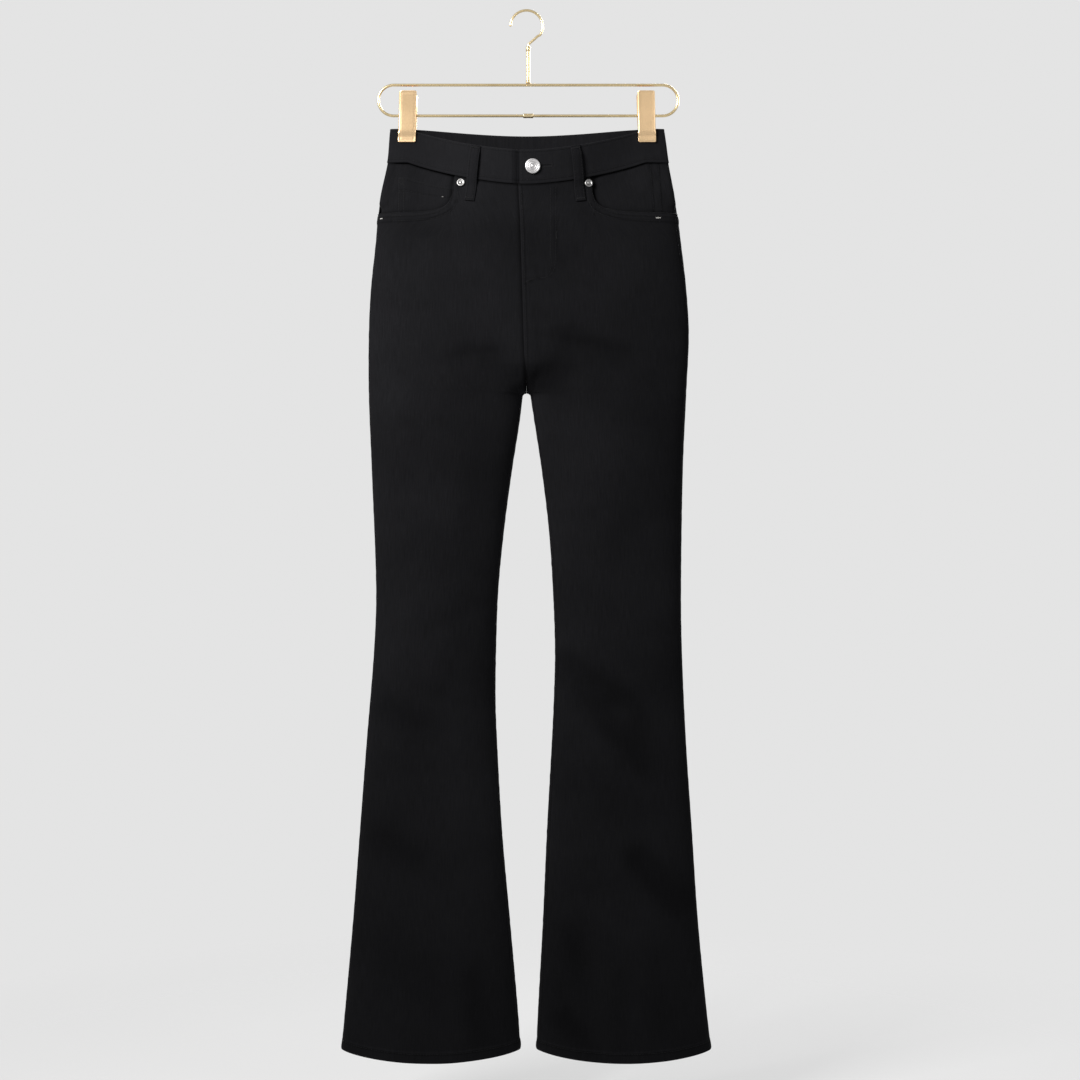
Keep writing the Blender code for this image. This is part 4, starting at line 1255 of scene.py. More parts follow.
        # the outseam is column 0: it stays joined to the other face
        share *= smooth(0.003, 0.034, np.abs(x - x[:1]))
        eased, total = np.zeros(x.shape), 0.0
        for step in np.linspace(-0.030, 0.030, 11):
            weight = float(bump(step, 0.018))
            near = downs + step
            u = FORM.across(leg, face, x, near)
            eased += weight * FORM.place(leg, face, u, near, lift)[..., 1]
            total += weight
        points[..., 1] += share * (eased / total - points[..., 1])

    def hold_clear(self, leg: Leg, face: Face, points: Array, downs: Array) -> None:
        """Keep a panel on its own side of the seams."""
        half = 0.00004
        points[..., 1] = face.value * np.maximum(face.value * points[..., 1], half)
        if not (face is Face.FRONT and leg is Leg.LEFT):
            edge = np.where(downs <= FORM.crotch_down, FORM.middle(face, downs), FORM.centre_x)
            points[..., 0] = edge + leg.value * np.maximum(leg.value * (points[..., 0] - edge), half)
        else:
            below = downs > LAP_ENDS[1]
            points[..., 0] = np.where(below, np.maximum(points[..., 0], FORM.centre_x + half), points[..., 0])

    def front_details(
        self, leg: Leg, x: Array, downs: Array, from_in: Array, lift: Array, wear: Array
    ) -> tuple[Array, Array]:
        """Add the pocket mouth's turned edge and the lapped fly, with their edges rubbed lighter and painted shade in
        their seams and grooves.

        Args:
            leg: The leg.
            x: Where each place is across the garment.
            downs: Its distance down.
            from_in: Its distance from the centre seam or inseam.
            lift: Lifts so far.
            wear: Rubbing and painted shade so far.

        Returns:
            The new lifts, and the new rubbing and painted shade.
        """
        on_leg = smooth(FORM.crotch_down - 0.004, FORM.crotch_down + 0.004, downs)
        near = np.where(downs < 0.125, away_from(x, downs, self.mouth_line(leg)), 1.0)
        lift = lift + 0.00060 * (1 - smooth(0.0092, 0.0108, near))
        lift -= grooves(near, MOUTH_ROWS, 0.00024)
        lift -= 0.00085 * bump(near, 0.0009)
        lift += 0.00016 * ripple(x + downs, 0.010, 40 + leg.value) * bump(near - 0.007, 0.007)
        # the mouth's edges are rubbed lighter, and painted shade darkens the grooves of its rows
        wear = wear + 0.30 * bump(near - 0.0006, 0.0010) - 0.55 * bump(near - 0.0026, 0.0008)
        wear += 0.20 * bump(near - 0.0100, 0.0010) - 0.65 * bump(near - 0.0088, 0.0009)
        # the top edge is sewn in under the band, where painted shade darkens it
        lift -= 0.0010 * (1 - smooth(FORM.band_height, FORM.band_height + 0.0016, downs))
        wear -= 0.95 * (1 - smooth(FORM.band_height + 0.0006, FORM.band_height + 0.0030, downs))
        if leg is Leg.LEFT:
            fly = self.fly_line()
            ends = 1 - smooth(0.176, 0.200, downs)
            edge_x = np.interp(downs, fly[:45, 1], fly[:45, 0])
            flap = 1 - smooth(-0.0010, 0.0008, x - edge_x)
            upper = flap * (downs < fly[-1, 1] + 0.004) * (1 - smooth(0.160, 0.176, downs))
            away = away_from(x, downs, fly)
            lift += 0.00040 * upper
            for at in FLY_ROWS:
                lift -= 0.00020 * bump(away_from(x, downs, self.fly_row(at)), 0.0009)
            # painted shade darkens the fly's curved seam
            wear -= 0.40 * bump(away, 0.0010)
            lift += 0.00022 * ripple(downs, 0.014, 61) * bump(away, 0.006)
            lapped = 1 - smooth(*LAP_ENDS, downs)
            lift += self.fly_lift * lapped * (1 - smooth(0.006, 0.020, from_in))
            lift -= 0.0007 * bump(from_in, 0.0009) * lapped
            lift -= 0.00022 * bump(from_in - 0.0030, 0.0008) * lapped
            lift += 0.00020 * ripple(downs, 0.019, 62) * bump(from_in - 0.004, 0.008) * lapped
            # the lap's edge is rubbed lighter; painted shade darkens the groove of its row and the centre seam below
            # the lap
            wear += 0.40 * bump(from_in - 0.0006, 0.0010) * lapped * (0.4 + 0.6 * ends)
            wear -= 0.50 * bump(from_in - 0.0030, 0.0009) * lapped
            wear -= 0.90 * bump(from_in, 0.0020) * smooth(*LAP_ENDS, downs) * (1 - on_leg)
        else:
            lift -= 0.0005 * bump(from_in, 0.004) * (1 - smooth(*LAP_ENDS, downs))
            # painted shade darkens the edge that lies under the lap
            wear -= 0.95 * bump(from_in, 0.0036) * (1 - on_leg)
        return lift, wear

    def back_details(
        self, leg: Leg, downs: Array, top: Array, from_in: Array, lift: Array, wear: Array, seed: int
    ) -> tuple[Array, Array]:
        """Add the seat seam and the tuck under the yoke, with painted shade in the tuck, the seam and the grooves of
        its rows.

        Args:
            leg: The leg.
            downs: Each place's distance down.
            top: Each column's top edge.
            from_in: Its distance from the seat seam or inseam.
            lift: Lifts so far.
            wear: Rubbing and painted shade so far.
            seed: The panel's own seed.

        Returns:
            The new lifts, and the new rubbing and painted shade.
        """
        seat = 1 - smooth(FORM.crotch_down - 0.012, FORM.crotch_down, downs)
        lift = lift - 0.0008 * (1 - smooth(0.0008, 0.0022, downs - top[:, None]))
        # painted shade darkens the cloth where it tucks under the yoke
        wear = wear - 0.9 * (1 - smooth(0.0010, 0.0032, downs - top[:, None]))
        if leg is Leg.LEFT:
            lift += 0.00045 * seat * (1 - smooth(0.0086, 0.0100, from_in)) * smooth(0, 0.0014, from_in)
            lift -= grooves(from_in, DOUBLE_ROWS) * seat
            # the lapped edge is rubbed lighter; painted shade darkens the grooves of its rows
            wear = wear + 0.3 * bump(from_in - 0.0008, 0.0010) * seat
            wear -= 0.5 * (bump(from_in - 0.0022, 0.0009) + bump(from_in - 0.0084, 0.0009)) * seat
        else:
            lift -= 0.0004 * bump(from_in, 0.0012) * seat
            # painted shade darkens the seat seam
            wear = wear - 0.8 * bump(from_in, 0.0022) * seat
        lift += self.pucker * ripple(downs, 0.013, seed + 5) * bump(from_in - 0.006, 0.008) * seat
        return lift, wear

    def sew(self) -> None:
        """Sew the rows that go through the panels."""
        sewing = self.sewing
        for leg in Leg:
            cloth = self.cloths[leg, Face.FRONT]
            for inset in MOUTH_ROWS:
                line = self.mouth_line(leg, inset, 0.02, 0.985)
                sewing.row(cloth, FORM.place_x(Face.FRONT, line[:, 0], line[:, 1], 0.001, leg))
            for face in Face:
                us = np.linspace(0.01, 0.99, 120)
                sewing.row(
                    self.cloths[leg, face], FORM.place(leg, face, us, FORM.hem(us) - self.hem_rows_up, 0.001)
                )
            downs = np.linspace(FORM.crotch_down + 0.012, FORM.hem_down - 0.014, 260)
            u = self.inset_u(leg, Face.FRONT, downs, self.fell_width - 0.0012)
            sewing.row(cloth, FORM.place(leg, Face.FRONT, u, downs, 0.001))
            # the top of the side seam is sewn flat on the front, and ends in a bartack
            downs = np.linspace(FORM.band_height + self.mouth_depth + 0.004, 0.150, 40)
            x = FORM.outseam[leg].at(downs) - leg.value * 0.0045
            sewing.row(cloth, FORM.place_x(Face.FRONT, x, downs, 0.001, leg))
        front = self.cloths[Leg.LEFT, Face.FRONT]
        for at in FLY_ROWS:
            line = self.fly_row(at)
            sewing.row(front, FORM.place_x(Face.FRONT, line[:52, 0], line[:52, 1], 0.002, Leg.LEFT))
        downs = np.linspace(FORM.band_height + 0.006, 0.285, 90)
        sewing.row(front, FORM.place_x(Face.FRONT, FORM.middle(Face.FRONT, downs) + 0.0020, downs, 0.002, Leg.LEFT))
        back = self.cloths[Leg.LEFT, Face.BACK]
        downs = np.linspace(FORM.band_height + self.yoke_middle + 0.004, FORM.crotch_down - 0.014, 90)
        for at in DOUBLE_ROWS:
            sewing.row(back, FORM.place_x(Face.BACK, FORM.centre_x + at + 0 * downs, downs, 0.001, Leg.LEFT))
        self.tacks()

    def tacks(self) -> None:
        """Sew the bartacks on the fly and at the pocket ends."""
        front = self.cloths[Leg.LEFT, Face.FRONT]
        for (x0, d0), (x1, d1) in (((0.0060, 0.1795), (-0.0020, 0.1830)), ((0.0325, 0.1250), (0.0325, 0.1330))):
            ends = FORM.place_x(Face.FRONT, np.array((x0, x1)), np.array((d0, d1)), 0.0018, Leg.LEFT)
            way = ends[1] - ends[0]
            across = np.array((way[2], 0.0, -way[0])) / np.linalg.norm(way) * 0.0020
            self.sewing.bartack(front, ends, across)
        # a pale bar holds each mouth's outer corner, and the left one shows
        low = FORM.band_height + self.mouth_depth + 0.0048
        for leg, x0, x1 in ((Leg.LEFT, 0.1478, 0.1526), (Leg.RIGHT, -0.1712, -0.1690)):
            ends = FORM.place_x(Face.FRONT, np.array((x0, x1)), np.full(2, low), 0.001, leg)
            self.tacking.bartack(self.cloths[leg, Face.FRONT], ends, np.array((0.0, 0.0, 0.0016)))

    def inset_u(self, leg: Leg, face: Face, downs: Array, inset: float) -> Array:
        """The u of places so far in from a panel's inner edge, along the cloth."""
        us = np.linspace(0.80, 1.0, 60)
        found = []
        for down in downs:
            points = FORM.place(leg, face, us, np.full(us.shape, down))
            found.append(np.interp(inset, run_lengths(points[::-1]), us[::-1]))
        return np.array(found)

    def build(self) -> None:
        """Build the four panels and sew them."""
        for leg in Leg:
            for face in Face:
                self.panel(leg, face)
        self.sew()


# ---- pockets ---------------------------------------------------------------------------------------
@dataclass
class FrontPockets:
    """The cloth behind the two pocket mouths, and the coin pocket on the right one."""

    finishes: Finishes
    sewing: Sewing
    tacking: Sewing
    legs: LegPanels
    facing_down: float = 0.118
    facing_reach: float = 0.72
    seam_ends: float = 0.098
    seams: tuple[tuple[float, float], ...] = ((0.1463, 0.00045), (0.1560, 0.00055))
    coin_x: tuple[float, float] = (-0.1535, -0.0800)
    coin_down: tuple[float, float] = (0.0575, 0.1125)

    def facing(self, leg: Leg) -> bpy.types.Object:
        """Build the cloth seen inside one mouth.

        Args:
            leg: The leg.

        Returns:
            The finished piece.
        """
        under = -FORM.cloth_thickness
        if leg is Leg.RIGHT:
            under -= FORM.layer_gap + FORM.pocket_cloth
        us = np.linspace(0.0, self.facing_reach, 64)
        downs = np.linspace(FORM.band_height - 0.001, self.facing_down, 56)
        u, down = np.meshgrid(us, downs, indexing="ij")
        base = FORM.place(leg, Face.FRONT, u, down)
        lift = np.full(u.shape, under - FORM.layer_gap)
        wear = np.zeros(u.shape)
        lift += 0.00022 * ripple(base[..., 0] * 1.3 + down, 0.023, 71 + leg.value)
        # above the mouth it reaches out to the side seam
        from_side = np.abs(base[..., 0] - FORM.outseam[leg].at(down))
        above = 1 - smooth(self.seam_ends - 0.010, self.seam_ends - 0.003, down)
        lift -= (lift + 0.0002) * above * (1 - smooth(0.0015, 0.0100, from_side))
        if leg is Leg.LEFT:
            # a soft crease falls across the facing, beside the seam that holds it to the side
            crease = unseen_line(((0.1155, 0.0400), (0.1400, 0.0425), (0.1500, 0.0480), (0.1535, 0.0600)), 24)
            lift -= 0.00060 * bump(away_from(base[..., 0], down, crease), 0.0026)
            for x, depth in self.seams:
                beside = base[..., 0] - x - (down - 0.06) * 0.06
                lift -= depth * bump(beside, 0.0009)
                # painted shade darkens the seams that hold the facing
                wear -= 0.55 * bump(beside, 0.0010)
        mouth = away_from(base[..., 0], down, self.legs.mouth_line(leg))
        inner = smooth(0.010, 0.030, from_side)
        lift -= 0.0011 * bump(mouth, 0.006) * inner
        # painted shade darkens the facing under the mouth's edge and under the band
        wear -= 0.95 * bump(mouth, 0.0030)
        wear -= 0.80 * (1 - smooth(FORM.band_height + 0.0004, FORM.band_height + 0.0030, down))
        points = FORM.place(leg, Face.FRONT, u, down, lift)
        points[..., 1] = np.minimum(points[..., 1], -0.0001)
        sheet = Sheet(points, wear, FORM.pocket_cloth)
        return sheet.build(f"hip_facing_{leg.side}", -1, self.finishes.denim, "waistband_denim")

    def coin_pocket(self, facing: bpy.types.Object) -> bpy.types.Object:
        """Build the small pocket that lies on the right facing.

        Args:
            facing: The facing that it is sewn to.

        Returns:
            The finished piece.
        """
        s, t = np.meshgrid(np.linspace(0, 1, 60), np.linspace(0, 1, 44), indexing="ij")
        x = self.coin_x[0] + (self.coin_x[1] - self.coin_x[0]) * s
        # its top edge sags towards the middle of the body
        top = self.coin_down[0] + 0.0012 * np.sin(s * math.pi)
        down = top + (self.coin_down[1] - top) * t
        inside = -FORM.cloth_thickness - FORM.layer_gap - FORM.pocket_cloth
        lift = np.full(s.shape, inside + FORM.pocket_cloth)
        from_top = down - top
        from_side = np.abs(x - self.coin_x[0])
        lift += 0.00030 * (1 - smooth(0.0165, 0.0180, from_top))
        lift -= grooves(from_top, COIN_ROWS)
        lift -= 0.00050 * bump(from_top, 0.0009) + 0.0006 * bump(from_side, 0.0009)
        lift -= 0.00022 * bump(from_side - 0.0022, 0.0008)
        lift += 0.00018 * ripple(x, 0.012, 81) * bump(from_top - 0.006, 0.008)
        mouth = away_from(x, down, self.legs.mouth_line(Leg.RIGHT))
        lift -= 0.0011 * bump(mouth, 0.006)
        # the pocket's edges are rubbed lighter; painted shade darkens it under the mouth's edge and in the grooves of
        # its rows
        wear = 0.35 * bump(from_top - 0.0003, 0.0010) + 0.25 * bump(from_side - 0.0003, 0.0009)
        wear -= 0.95 * bump(mouth, 0.0030) + 0.5 * bump(from_top - COIN_ROWS[1], 0.0009)
        wear -= 0.4 * bump(from_top - COIN_ROWS[0], 0.0008)
        wear += 0.25 * bump(from_top - 0.0175, 0.0009)
        points = FORM.place_x(Face.FRONT, x, down, lift, Leg.RIGHT)
        made = Sheet(points, wear, FORM.pocket_cloth).build("coin_pocket", -1, self.finishes.denim, facing.name)

        def over(xs: Array, downs: Array) -> Array:
            """A line close over the pocket."""
            return FORM.place_x(Face.FRONT, xs, downs, inside + 0.002, Leg.RIGHT)

        for at in COIN_ROWS:
            self.sewing.row(made, over(x[:, 0], top[:, 0] + at)[2:])
        for at in (0.0022, 0.0078):
            downs = np.linspace(self.coin_down[0] + 0.002, self.coin_down[1] - 0.001, 30)
            self.sewing.row(made, over(self.coin_x[0] + at + 0 * downs, downs))
        ends = over(np.full(2, self.coin_x[0] + 0.0050), self.coin_down[0] + np.array((0.001, 0.009)))
        self.sewing.bartack(made, ends, np.array((0.0060, 0.0, 0.0)), 0.0011)
        dot = over(np.array((-0.1010, -0.0990)), np.full(2, 0.0740))
        self.tacking.stitch(made, *(Vector(p) for p in dot))
        return made

    def build(self) -> None:
        """Build both facings and the coin pocket."""
        right = self.facing(Leg.RIGHT)
        left = self.facing(Leg.LEFT)
        self.coin_pocket(right)
        for x, _ in self.seams:
            downs = np.linspace(FORM.band_height + 0.002, self.seam_ends, 40)
            line = FORM.place_x(Face.FRONT, x - 0.0014 + (downs - 0.06) * 0.06, downs, -0.0012, Leg.LEFT)
            self.sewing.row(left, line)


@dataclass
class BackPockets:
    """Plain five-sided patch pockets with a double-sewn edge and a turned top."""

    finishes: Finishes
    sewing: Sewing
    centre: float = 0.082
    top: float = 0.122
    width: tuple[float, float] = (0.122, 0.108)
    height: tuple[float, float] = (0.112, 0.132)
    slant: float = 0.006
    mouth_slack: float = 0.0013

    def place(self, leg: Leg, s: Array, t: Array) -> tuple[Array, Array]:
        """x and down of a place on a pocket, by its shares across and down."""
        side, point = self.height
        tall = side + (point - side) * (1 - np.abs(s - 0.5) * 2)
        tilt = -leg.value * self.slant * (s - 0.5)
        down = self.top + tilt + tall * t
        share = np.minimum((down - self.top) / side, 1.0)
        wide = self.width[0] + (self.width[1] - self.width[0]) * share
        return FORM.centre_x + leg.value * self.centre + (s - 0.5) * wide, down

    def outline(self, leg: Leg, inset: float) -> Array:
        """The sewn edge from one top corner round to the other, in x and down."""
        corners = [self.place(leg, np.array(s), np.array(t)) for s, t in ((0, 0), (0, 1), (0.5, 1), (1, 1), (1, 0))]
        points = np.array(corners, float)
        moved = []
        for i in range(5):
            if i in (0, 4):
                side = points[1] - points[0] if i == 0 else points[3] - points[4]
            before = points[i] - points[i - 1] if i else side
            after = points[i + 1] - points[i] if i < 4 else -side
            before, after = before / np.linalg.norm(before), after / np.linalg.norm(after)
            if i == 4:
                after = before
            n0, n1 = np.array((before[1], -before[0])), np.array((after[1], -after[0]))
            mid = (n0 + n1) / max(1 + n0 @ n1, 0.3)
            moved.append(points[i] + mid * inset)
        return np.array(moved)

    def pocket(self, leg: Leg) -> bpy.types.Object:
        """Build one pocket.

        Args:
            leg: The leg that it is on.

        Returns:
            The finished piece.
        """
        s, t = np.meshgrid(np.linspace(0, 1, 72), np.linspace(0, 1, 80), indexing="ij")
        x, down = self.place(leg, s, t)
        from_edge = away_from(x, down, self.outline(leg, 0.0))
        mouth = np.array([self.place(leg, np.array(k), np.array(0.0)) for k in (0.0, 1.0)])
        from_mouth = away_from(x, down, mouth)
        lift = np.full(s.shape, FORM.layer_gap + FORM.pocket_cloth)
        # the seat's own folds show through, softened, and the mouth stands a little slack
        lift += self.mouth_slack * np.sin(math.pi * s) ** 2 * (1 - smooth(0.0, 0.035, from_mouth))
        lift += 0.0004 * smooth(0.010, 0.040, from_edge)
        lift -= 0.0007 * bump(from_edge, 0.0012)
        lift -= grooves(from_edge, DOUBLE_ROWS)
        lift += 0.00030 * (1 - smooth(0.0155, 0.0170, from_mouth))
        lift -= 0.00024 * bump(from_mouth - 0.0150, 0.0008) + 0.0005 * bump(from_mouth, 0.0009)
        lift += 0.00016 * ripple(x + down, 0.012, 91 + leg.value) * bump(from_edge - 0.006, 0.008)
        # the edges are rubbed lighter; painted shade darkens the grooves of the rows
        wear = 0.35 * bump(from_edge - 0.0003, 0.0011) + 0.45 * bump(from_mouth - 0.0003, 0.0011)
        wear -= 0.5 * (bump(from_edge - DOUBLE_ROWS[0], 0.0008) + bump(from_edge - DOUBLE_ROWS[1], 0.0009))
        wear -= 0.5 * bump(from_mouth - 0.0150, 0.0009)
        points = FORM.place_x(Face.BACK, x, down, lift, leg)
        sheet = Sheet(points, wear, FORM.pocket_cloth)
        made = sheet.build(f"back_pocket_{leg.side}", 1, self.finishes.denim, f"back_{leg.side}_denim")
        for at in DOUBLE_ROWS:
            corners = self.outline(leg, at)
            line = np.concatenate([np.linspace(a, b, 30) for a, b in zip(corners, corners[1:])])
            self.sewing.row(made, FORM.place_x(Face.BACK, line[:, 0], line[:, 1], 0.0035, leg))
        across = np.linspace(0.02, 0.98, 60)
        x, down = self.place(leg, across, np.full(across.shape, 0.0150 / self.height[0]))
        self.sewing.row(made, FORM.place_x(Face.BACK, x, down, 0.0035, leg))
        for share in (0.03, 0.97):
            x, down = self.place(leg, np.full(2, share), np.array((0.015, 0.075)))
            ends = FORM.place_x(Face.BACK, x, down, 0.0035, leg)
            self.sewing.bartack(made, ends, np.array((0.0022, 0.0, 0.0)))
        return made

    def build(self) -> None:
        """Build both pockets."""
        for leg in Leg:
            self.pocket(leg)


@dataclass
class Yokes:
    """The shaped back yokes, felled over the back panels with two rows of stitches."""

    finishes: Finishes
    sewing: Sewing
    legs: LegPanels
    overlap: float = 0.0006

    def yoke(self, leg: Leg) -> bpy.types.Object:
        """Build one yoke.

        Args:
            leg: The leg that it is above.

        Returns:
            The finished piece.
        """
        us = np.sort(np.concatenate((np.linspace(0.0, 0.97, 66), np.linspace(0.975, 1.0, 8))))
        seam = self.legs.yoke_seam(leg, us)
        top = FORM.band_height - 0.0010
        share = np.sort(np.concatenate((np.linspace(0, 0.80, 24), np.linspace(0.82, 1.0, 18))))
        down = top + (seam[:, None] + self.overlap - top) * share[None, :]
        u = np.broadcast_to(us[:, None], down.shape)
        base = FORM.place(leg, Face.BACK, u, down)
        from_out = across_lengths(base)
        from_in = from_out[-1:] - from_out
        to_seam = seam[:, None] + self.overlap - down
        lift = 0.00050 * (1 - smooth(0.0092, 0.0106, to_seam))
        lift -= grooves(to_seam, DOUBLE_ROWS)
        lift -= 0.0007 * bump(to_seam, 0.0009) + 0.0006 * bump(from_out, 0.0014)
        lift -= 0.0010 * (1 - smooth(FORM.band_height, FORM.band_height + 0.0016, down))
        lift += 0.00018 * ripple(base[..., 0], 0.013, 55 + leg.value) * bump(to_seam - 0.005, 0.008)
        if leg is Leg.LEFT:
            lift += 0.00045 * (1 - smooth(0.0086, 0.0100, from_in)) * smooth(0, 0.0014, from_in)
        else:
            lift -= 0.0004 * bump(from_in, 0.0012)
        # the felled edge is rubbed lighter; painted shade darkens the grooves of its rows, the outseam and the cloth
        # under the band
        wear = 0.4 * bump(to_seam - 0.0004, 0.0010)
        wear -= 0.5 * sum(bump(to_seam - at, 0.0009) for at in DOUBLE_ROWS) + 0.5 * bump(from_out, 0.0022)
        wear -= 0.9 * (1 - smooth(FORM.band_height + 0.0006, FORM.band_height + 0.0030, down))
        points = FORM.place(leg, Face.BACK, u, down, lift)
        self.legs.hold_clear(leg, Face.BACK, points, down)
        sheet = Sheet(points, wear, FORM.cloth_thickness)
        made = sheet.build(f"back_yoke_{leg.side}", 1, self.finishes.denim, "waistband_denim")
        along = np.linspace(0.01, 0.995, 100)
        for at in DOUBLE_ROWS:
            line = FORM.place(leg, Face.BACK, along, self.legs.yoke_seam(leg, along) + self.overlap - at, 0.0015)
            self.sewing.row(made, line)
        if leg is Leg.LEFT:
            downs = np.linspace(FORM.band_height + 0.003, FORM.band_height + self.legs.yoke_middle - 0.001, 30)
            for at in DOUBLE_ROWS:
                line = FORM.place_x(Face.BACK, FORM.centre_x + at + 0 * downs, downs, 0.0015, leg)
                self.sewing.row(made, line)
        return made

    def build(self) -> None:
        """Build both yokes."""
        for leg in Leg:
            self.yoke(leg)


# ---- waistband -------------------------------------------------------------------------------------
@dataclass
class Waistband:
    """One folded strip round the waist, lapped at the front, with its buttonhole."""

    finishes: Finishes
    sewing: Sewing
    lap_gap: float = 0.0004
    underlap: float = 0.026
    fold_radius: float = 0.0011
    top_row: float = 0.0026
    bottom_row: float = 0.0352
    hole_x: tuple[float, float] = (0.0075, 0.0265)
    hole_down: float = 0.0197
    cloth: bpy.types.Object | None = None

    def stations(self) -> list[tuple[Leg, Face, float, float]]:
        """The strip's places round the waist: leg, face, u and how far its outside is lifted."""
        proud = FORM.band_proud
        lapped = proud - FORM.band_cloth - self.lap_gap
        fine = np.concatenate((np.linspace(0, 0.94, 62), np.linspace(0.945, 1.0, 12)))
        run = [(Leg.LEFT, Face.FRONT, u, proud) for u in fine[::-1]]
        run += [(Leg.LEFT, Face.BACK, u, proud) for u in np.linspace(0, 1, 70)[1:]]
        run += [(Leg.RIGHT, Face.BACK, u, proud) for u in np.linspace(0, 1, 70)[::-1][1:]]
        run += [(Leg.RIGHT, Face.FRONT, u, proud) for u in fine[1:] if u < 0.966]
        run += [(Leg.RIGHT, Face.FRONT, u, lapped) for u in fine[1:] if u > 0.984]
        down = np.array(FORM.band_height / 2)
        edge = float(FORM.across(Leg.LEFT, Face.FRONT, np.array(FORM.fly_top_x + self.underlap), down))
        run += [(Leg.LEFT, Face.FRONT, u, lapped) for u in np.linspace(0.995, edge, 12)]
        return run

    def profile(self) -> Array:
        """The strip's section: distance down and height over its inner face, once round."""
        tall, thick, r = FORM.band_height, FORM.band_cloth, self.fold_radius
        quarter = np.linspace(0, math.pi / 2, 5)
        top_out = [(r - r * math.sin(a), thick - r + r * math.cos(a)) for a in quarter]
        top_in = [(r - r * math.cos(a), r - r * math.sin(a)) for a in quarter]
        low_in = [(tall - r + r * math.sin(a), r - r * math.cos(a)) for a in quarter]
        low_out = [(tall - r + r * math.cos(a), thick - r + r * math.sin(a)) for a in quarter]
        face = [(d, thick) for d in np.linspace(tall - r, r, 24)[1:-1]]
        back = [(d, 0.0) for d in np.linspace(r, tall - r, 12)[1:-1]]
        return np.array(top_out + top_in + back + low_in + low_out + face + [top_out[0]])

    def build(self) -> bpy.types.Object:
        """Build the strip.

        Returns:
            The finished piece.
        """
        run, profile = self.stations(), self.profile()
        down, over = profile[:, 0], profile[:, 1]
        outside = smooth(FORM.band_cloth - 0.0009, FORM.band_cloth, over)
        relief = outside * (0.00018 * bump(down - 0.019, 0.010) - grooves(down, (self.top_row, self.bottom_row)))
        points = np.zeros((len(run), len(profile), 3))
        for i, (leg, face, u, proud) in enumerate(run):
            points[i] = FORM.place(leg, face, np.full(len(profile), u), down, proud - FORM.band_cloth + over + relief)
        along = run_lengths(points[:, 12])
        drawn = ripple(along, 0.015, 33)
        outside = over > FORM.band_cloth * 0.9
        hems = (bump(down - self.top_row, 0.004) + bump(down - self.bottom_row, 0.004)) * outside
        slit = np.array(((self.hole_x[0], self.hole_down), (self.hole_x[1], self.hole_down + 0.0005)))
        for i, (leg, face, _, proud) in enumerate(run):
            points[i, :, 1] += face.value * 0.00013 * drawn[i] * hems
            if proud == FORM.band_proud and face is Face.FRONT and leg is Leg.LEFT:
                # the buttonhole is a slit that the cloth dips into
                points[i, :, 1] += 0.0011 * bump(away_from(points[i, :, 0], down, slit), 0.0009) * outside
        cut = np.stack(np.meshgrid(along, run_lengths(profile), indexing="ij"), axis=2)
        bm, at = laid_grid(points, cut, upward=True)
        # the band's outside is a little lighter than the legs all over, its edges are rubbed lighter still, and painted
        # shade darkens the grooves of its rows and its foot at the waist seam
        band_tone_and_painted_shade = 0.40 + 0.60 * bump(down, 0.0014) + 0.10 * bump(down - FORM.band_height, 0.0014)
        band_tone_and_painted_shade -= 0.50 * (bump(down - self.bottom_row, 0.0009) + 0.7 * bump(down - self.top_row, 0.0008))
        band_tone_and_painted_shade -= 0.45 * bump(down - FORM.band_height, 0.0011)
        # the right end goes into shade where it passes under the left
        shade = [0.7 * (leg is Leg.RIGHT and face is Face.FRONT and u > 0.972) for leg, face, u, _ in run]
        band_tone_and_painted_shade = band_tone_and_painted_shade[None, :] + (0.40 * bump(along, 0.0014) - np.array(shade))[:, None]
        wear = np.clip(band_tone_and_painted_shade * (over > FORM.band_cloth * 0.5), -1, 1)
        layer = bm.verts.layers.float.new("wear")
        for vert, place in zip(bm.verts, at):
            vert[layer] = float(wear[place])
        bmesh.ops.remove_doubles(bm, verts=bm.verts, dist=1e-6)
        caps = bmesh.ops.holes_fill(bm, edges=[e for e in bm.edges if e.is_boundary], sides=0)["faces"]
        bmesh.ops.triangulate(bm, faces=caps)
        bmesh.ops.recalc_face_normals(bm, faces=bm.faces)
        made = finish_piece("waistband_denim", bm, self.finishes.denim, "waistband", 50)
        self.cloth = made
        self.sew(run)
        return made

    def sew(self, run: list[tuple[Leg, Face, float, float]]) -> None:
        """Sew the rows along both edges, the lapped end and the buttonhole, by the strip's stations."""
        seen = [(leg, face, u) for leg, face, u, proud in run if proud == FORM.band_proud]
        for down in (self.top_row, self.bottom_row):
            line = [FORM.place(leg, face, np.array([u]), np.array([down]), 0.0016)[0] for leg, face, u in seen]
            self.sewing.row(self.cloth, np.array(line)[1:])
        downs = np.linspace(0.003, FORM.band_height - 0.003, 24)
        x = FORM.fly_top_x + 0.0026 + 0 * downs
        self.sewing.row(self.cloth, FORM.place_x(Face.FRONT, x, downs, 0.0016, Leg.LEFT))
        self.buttonhole()

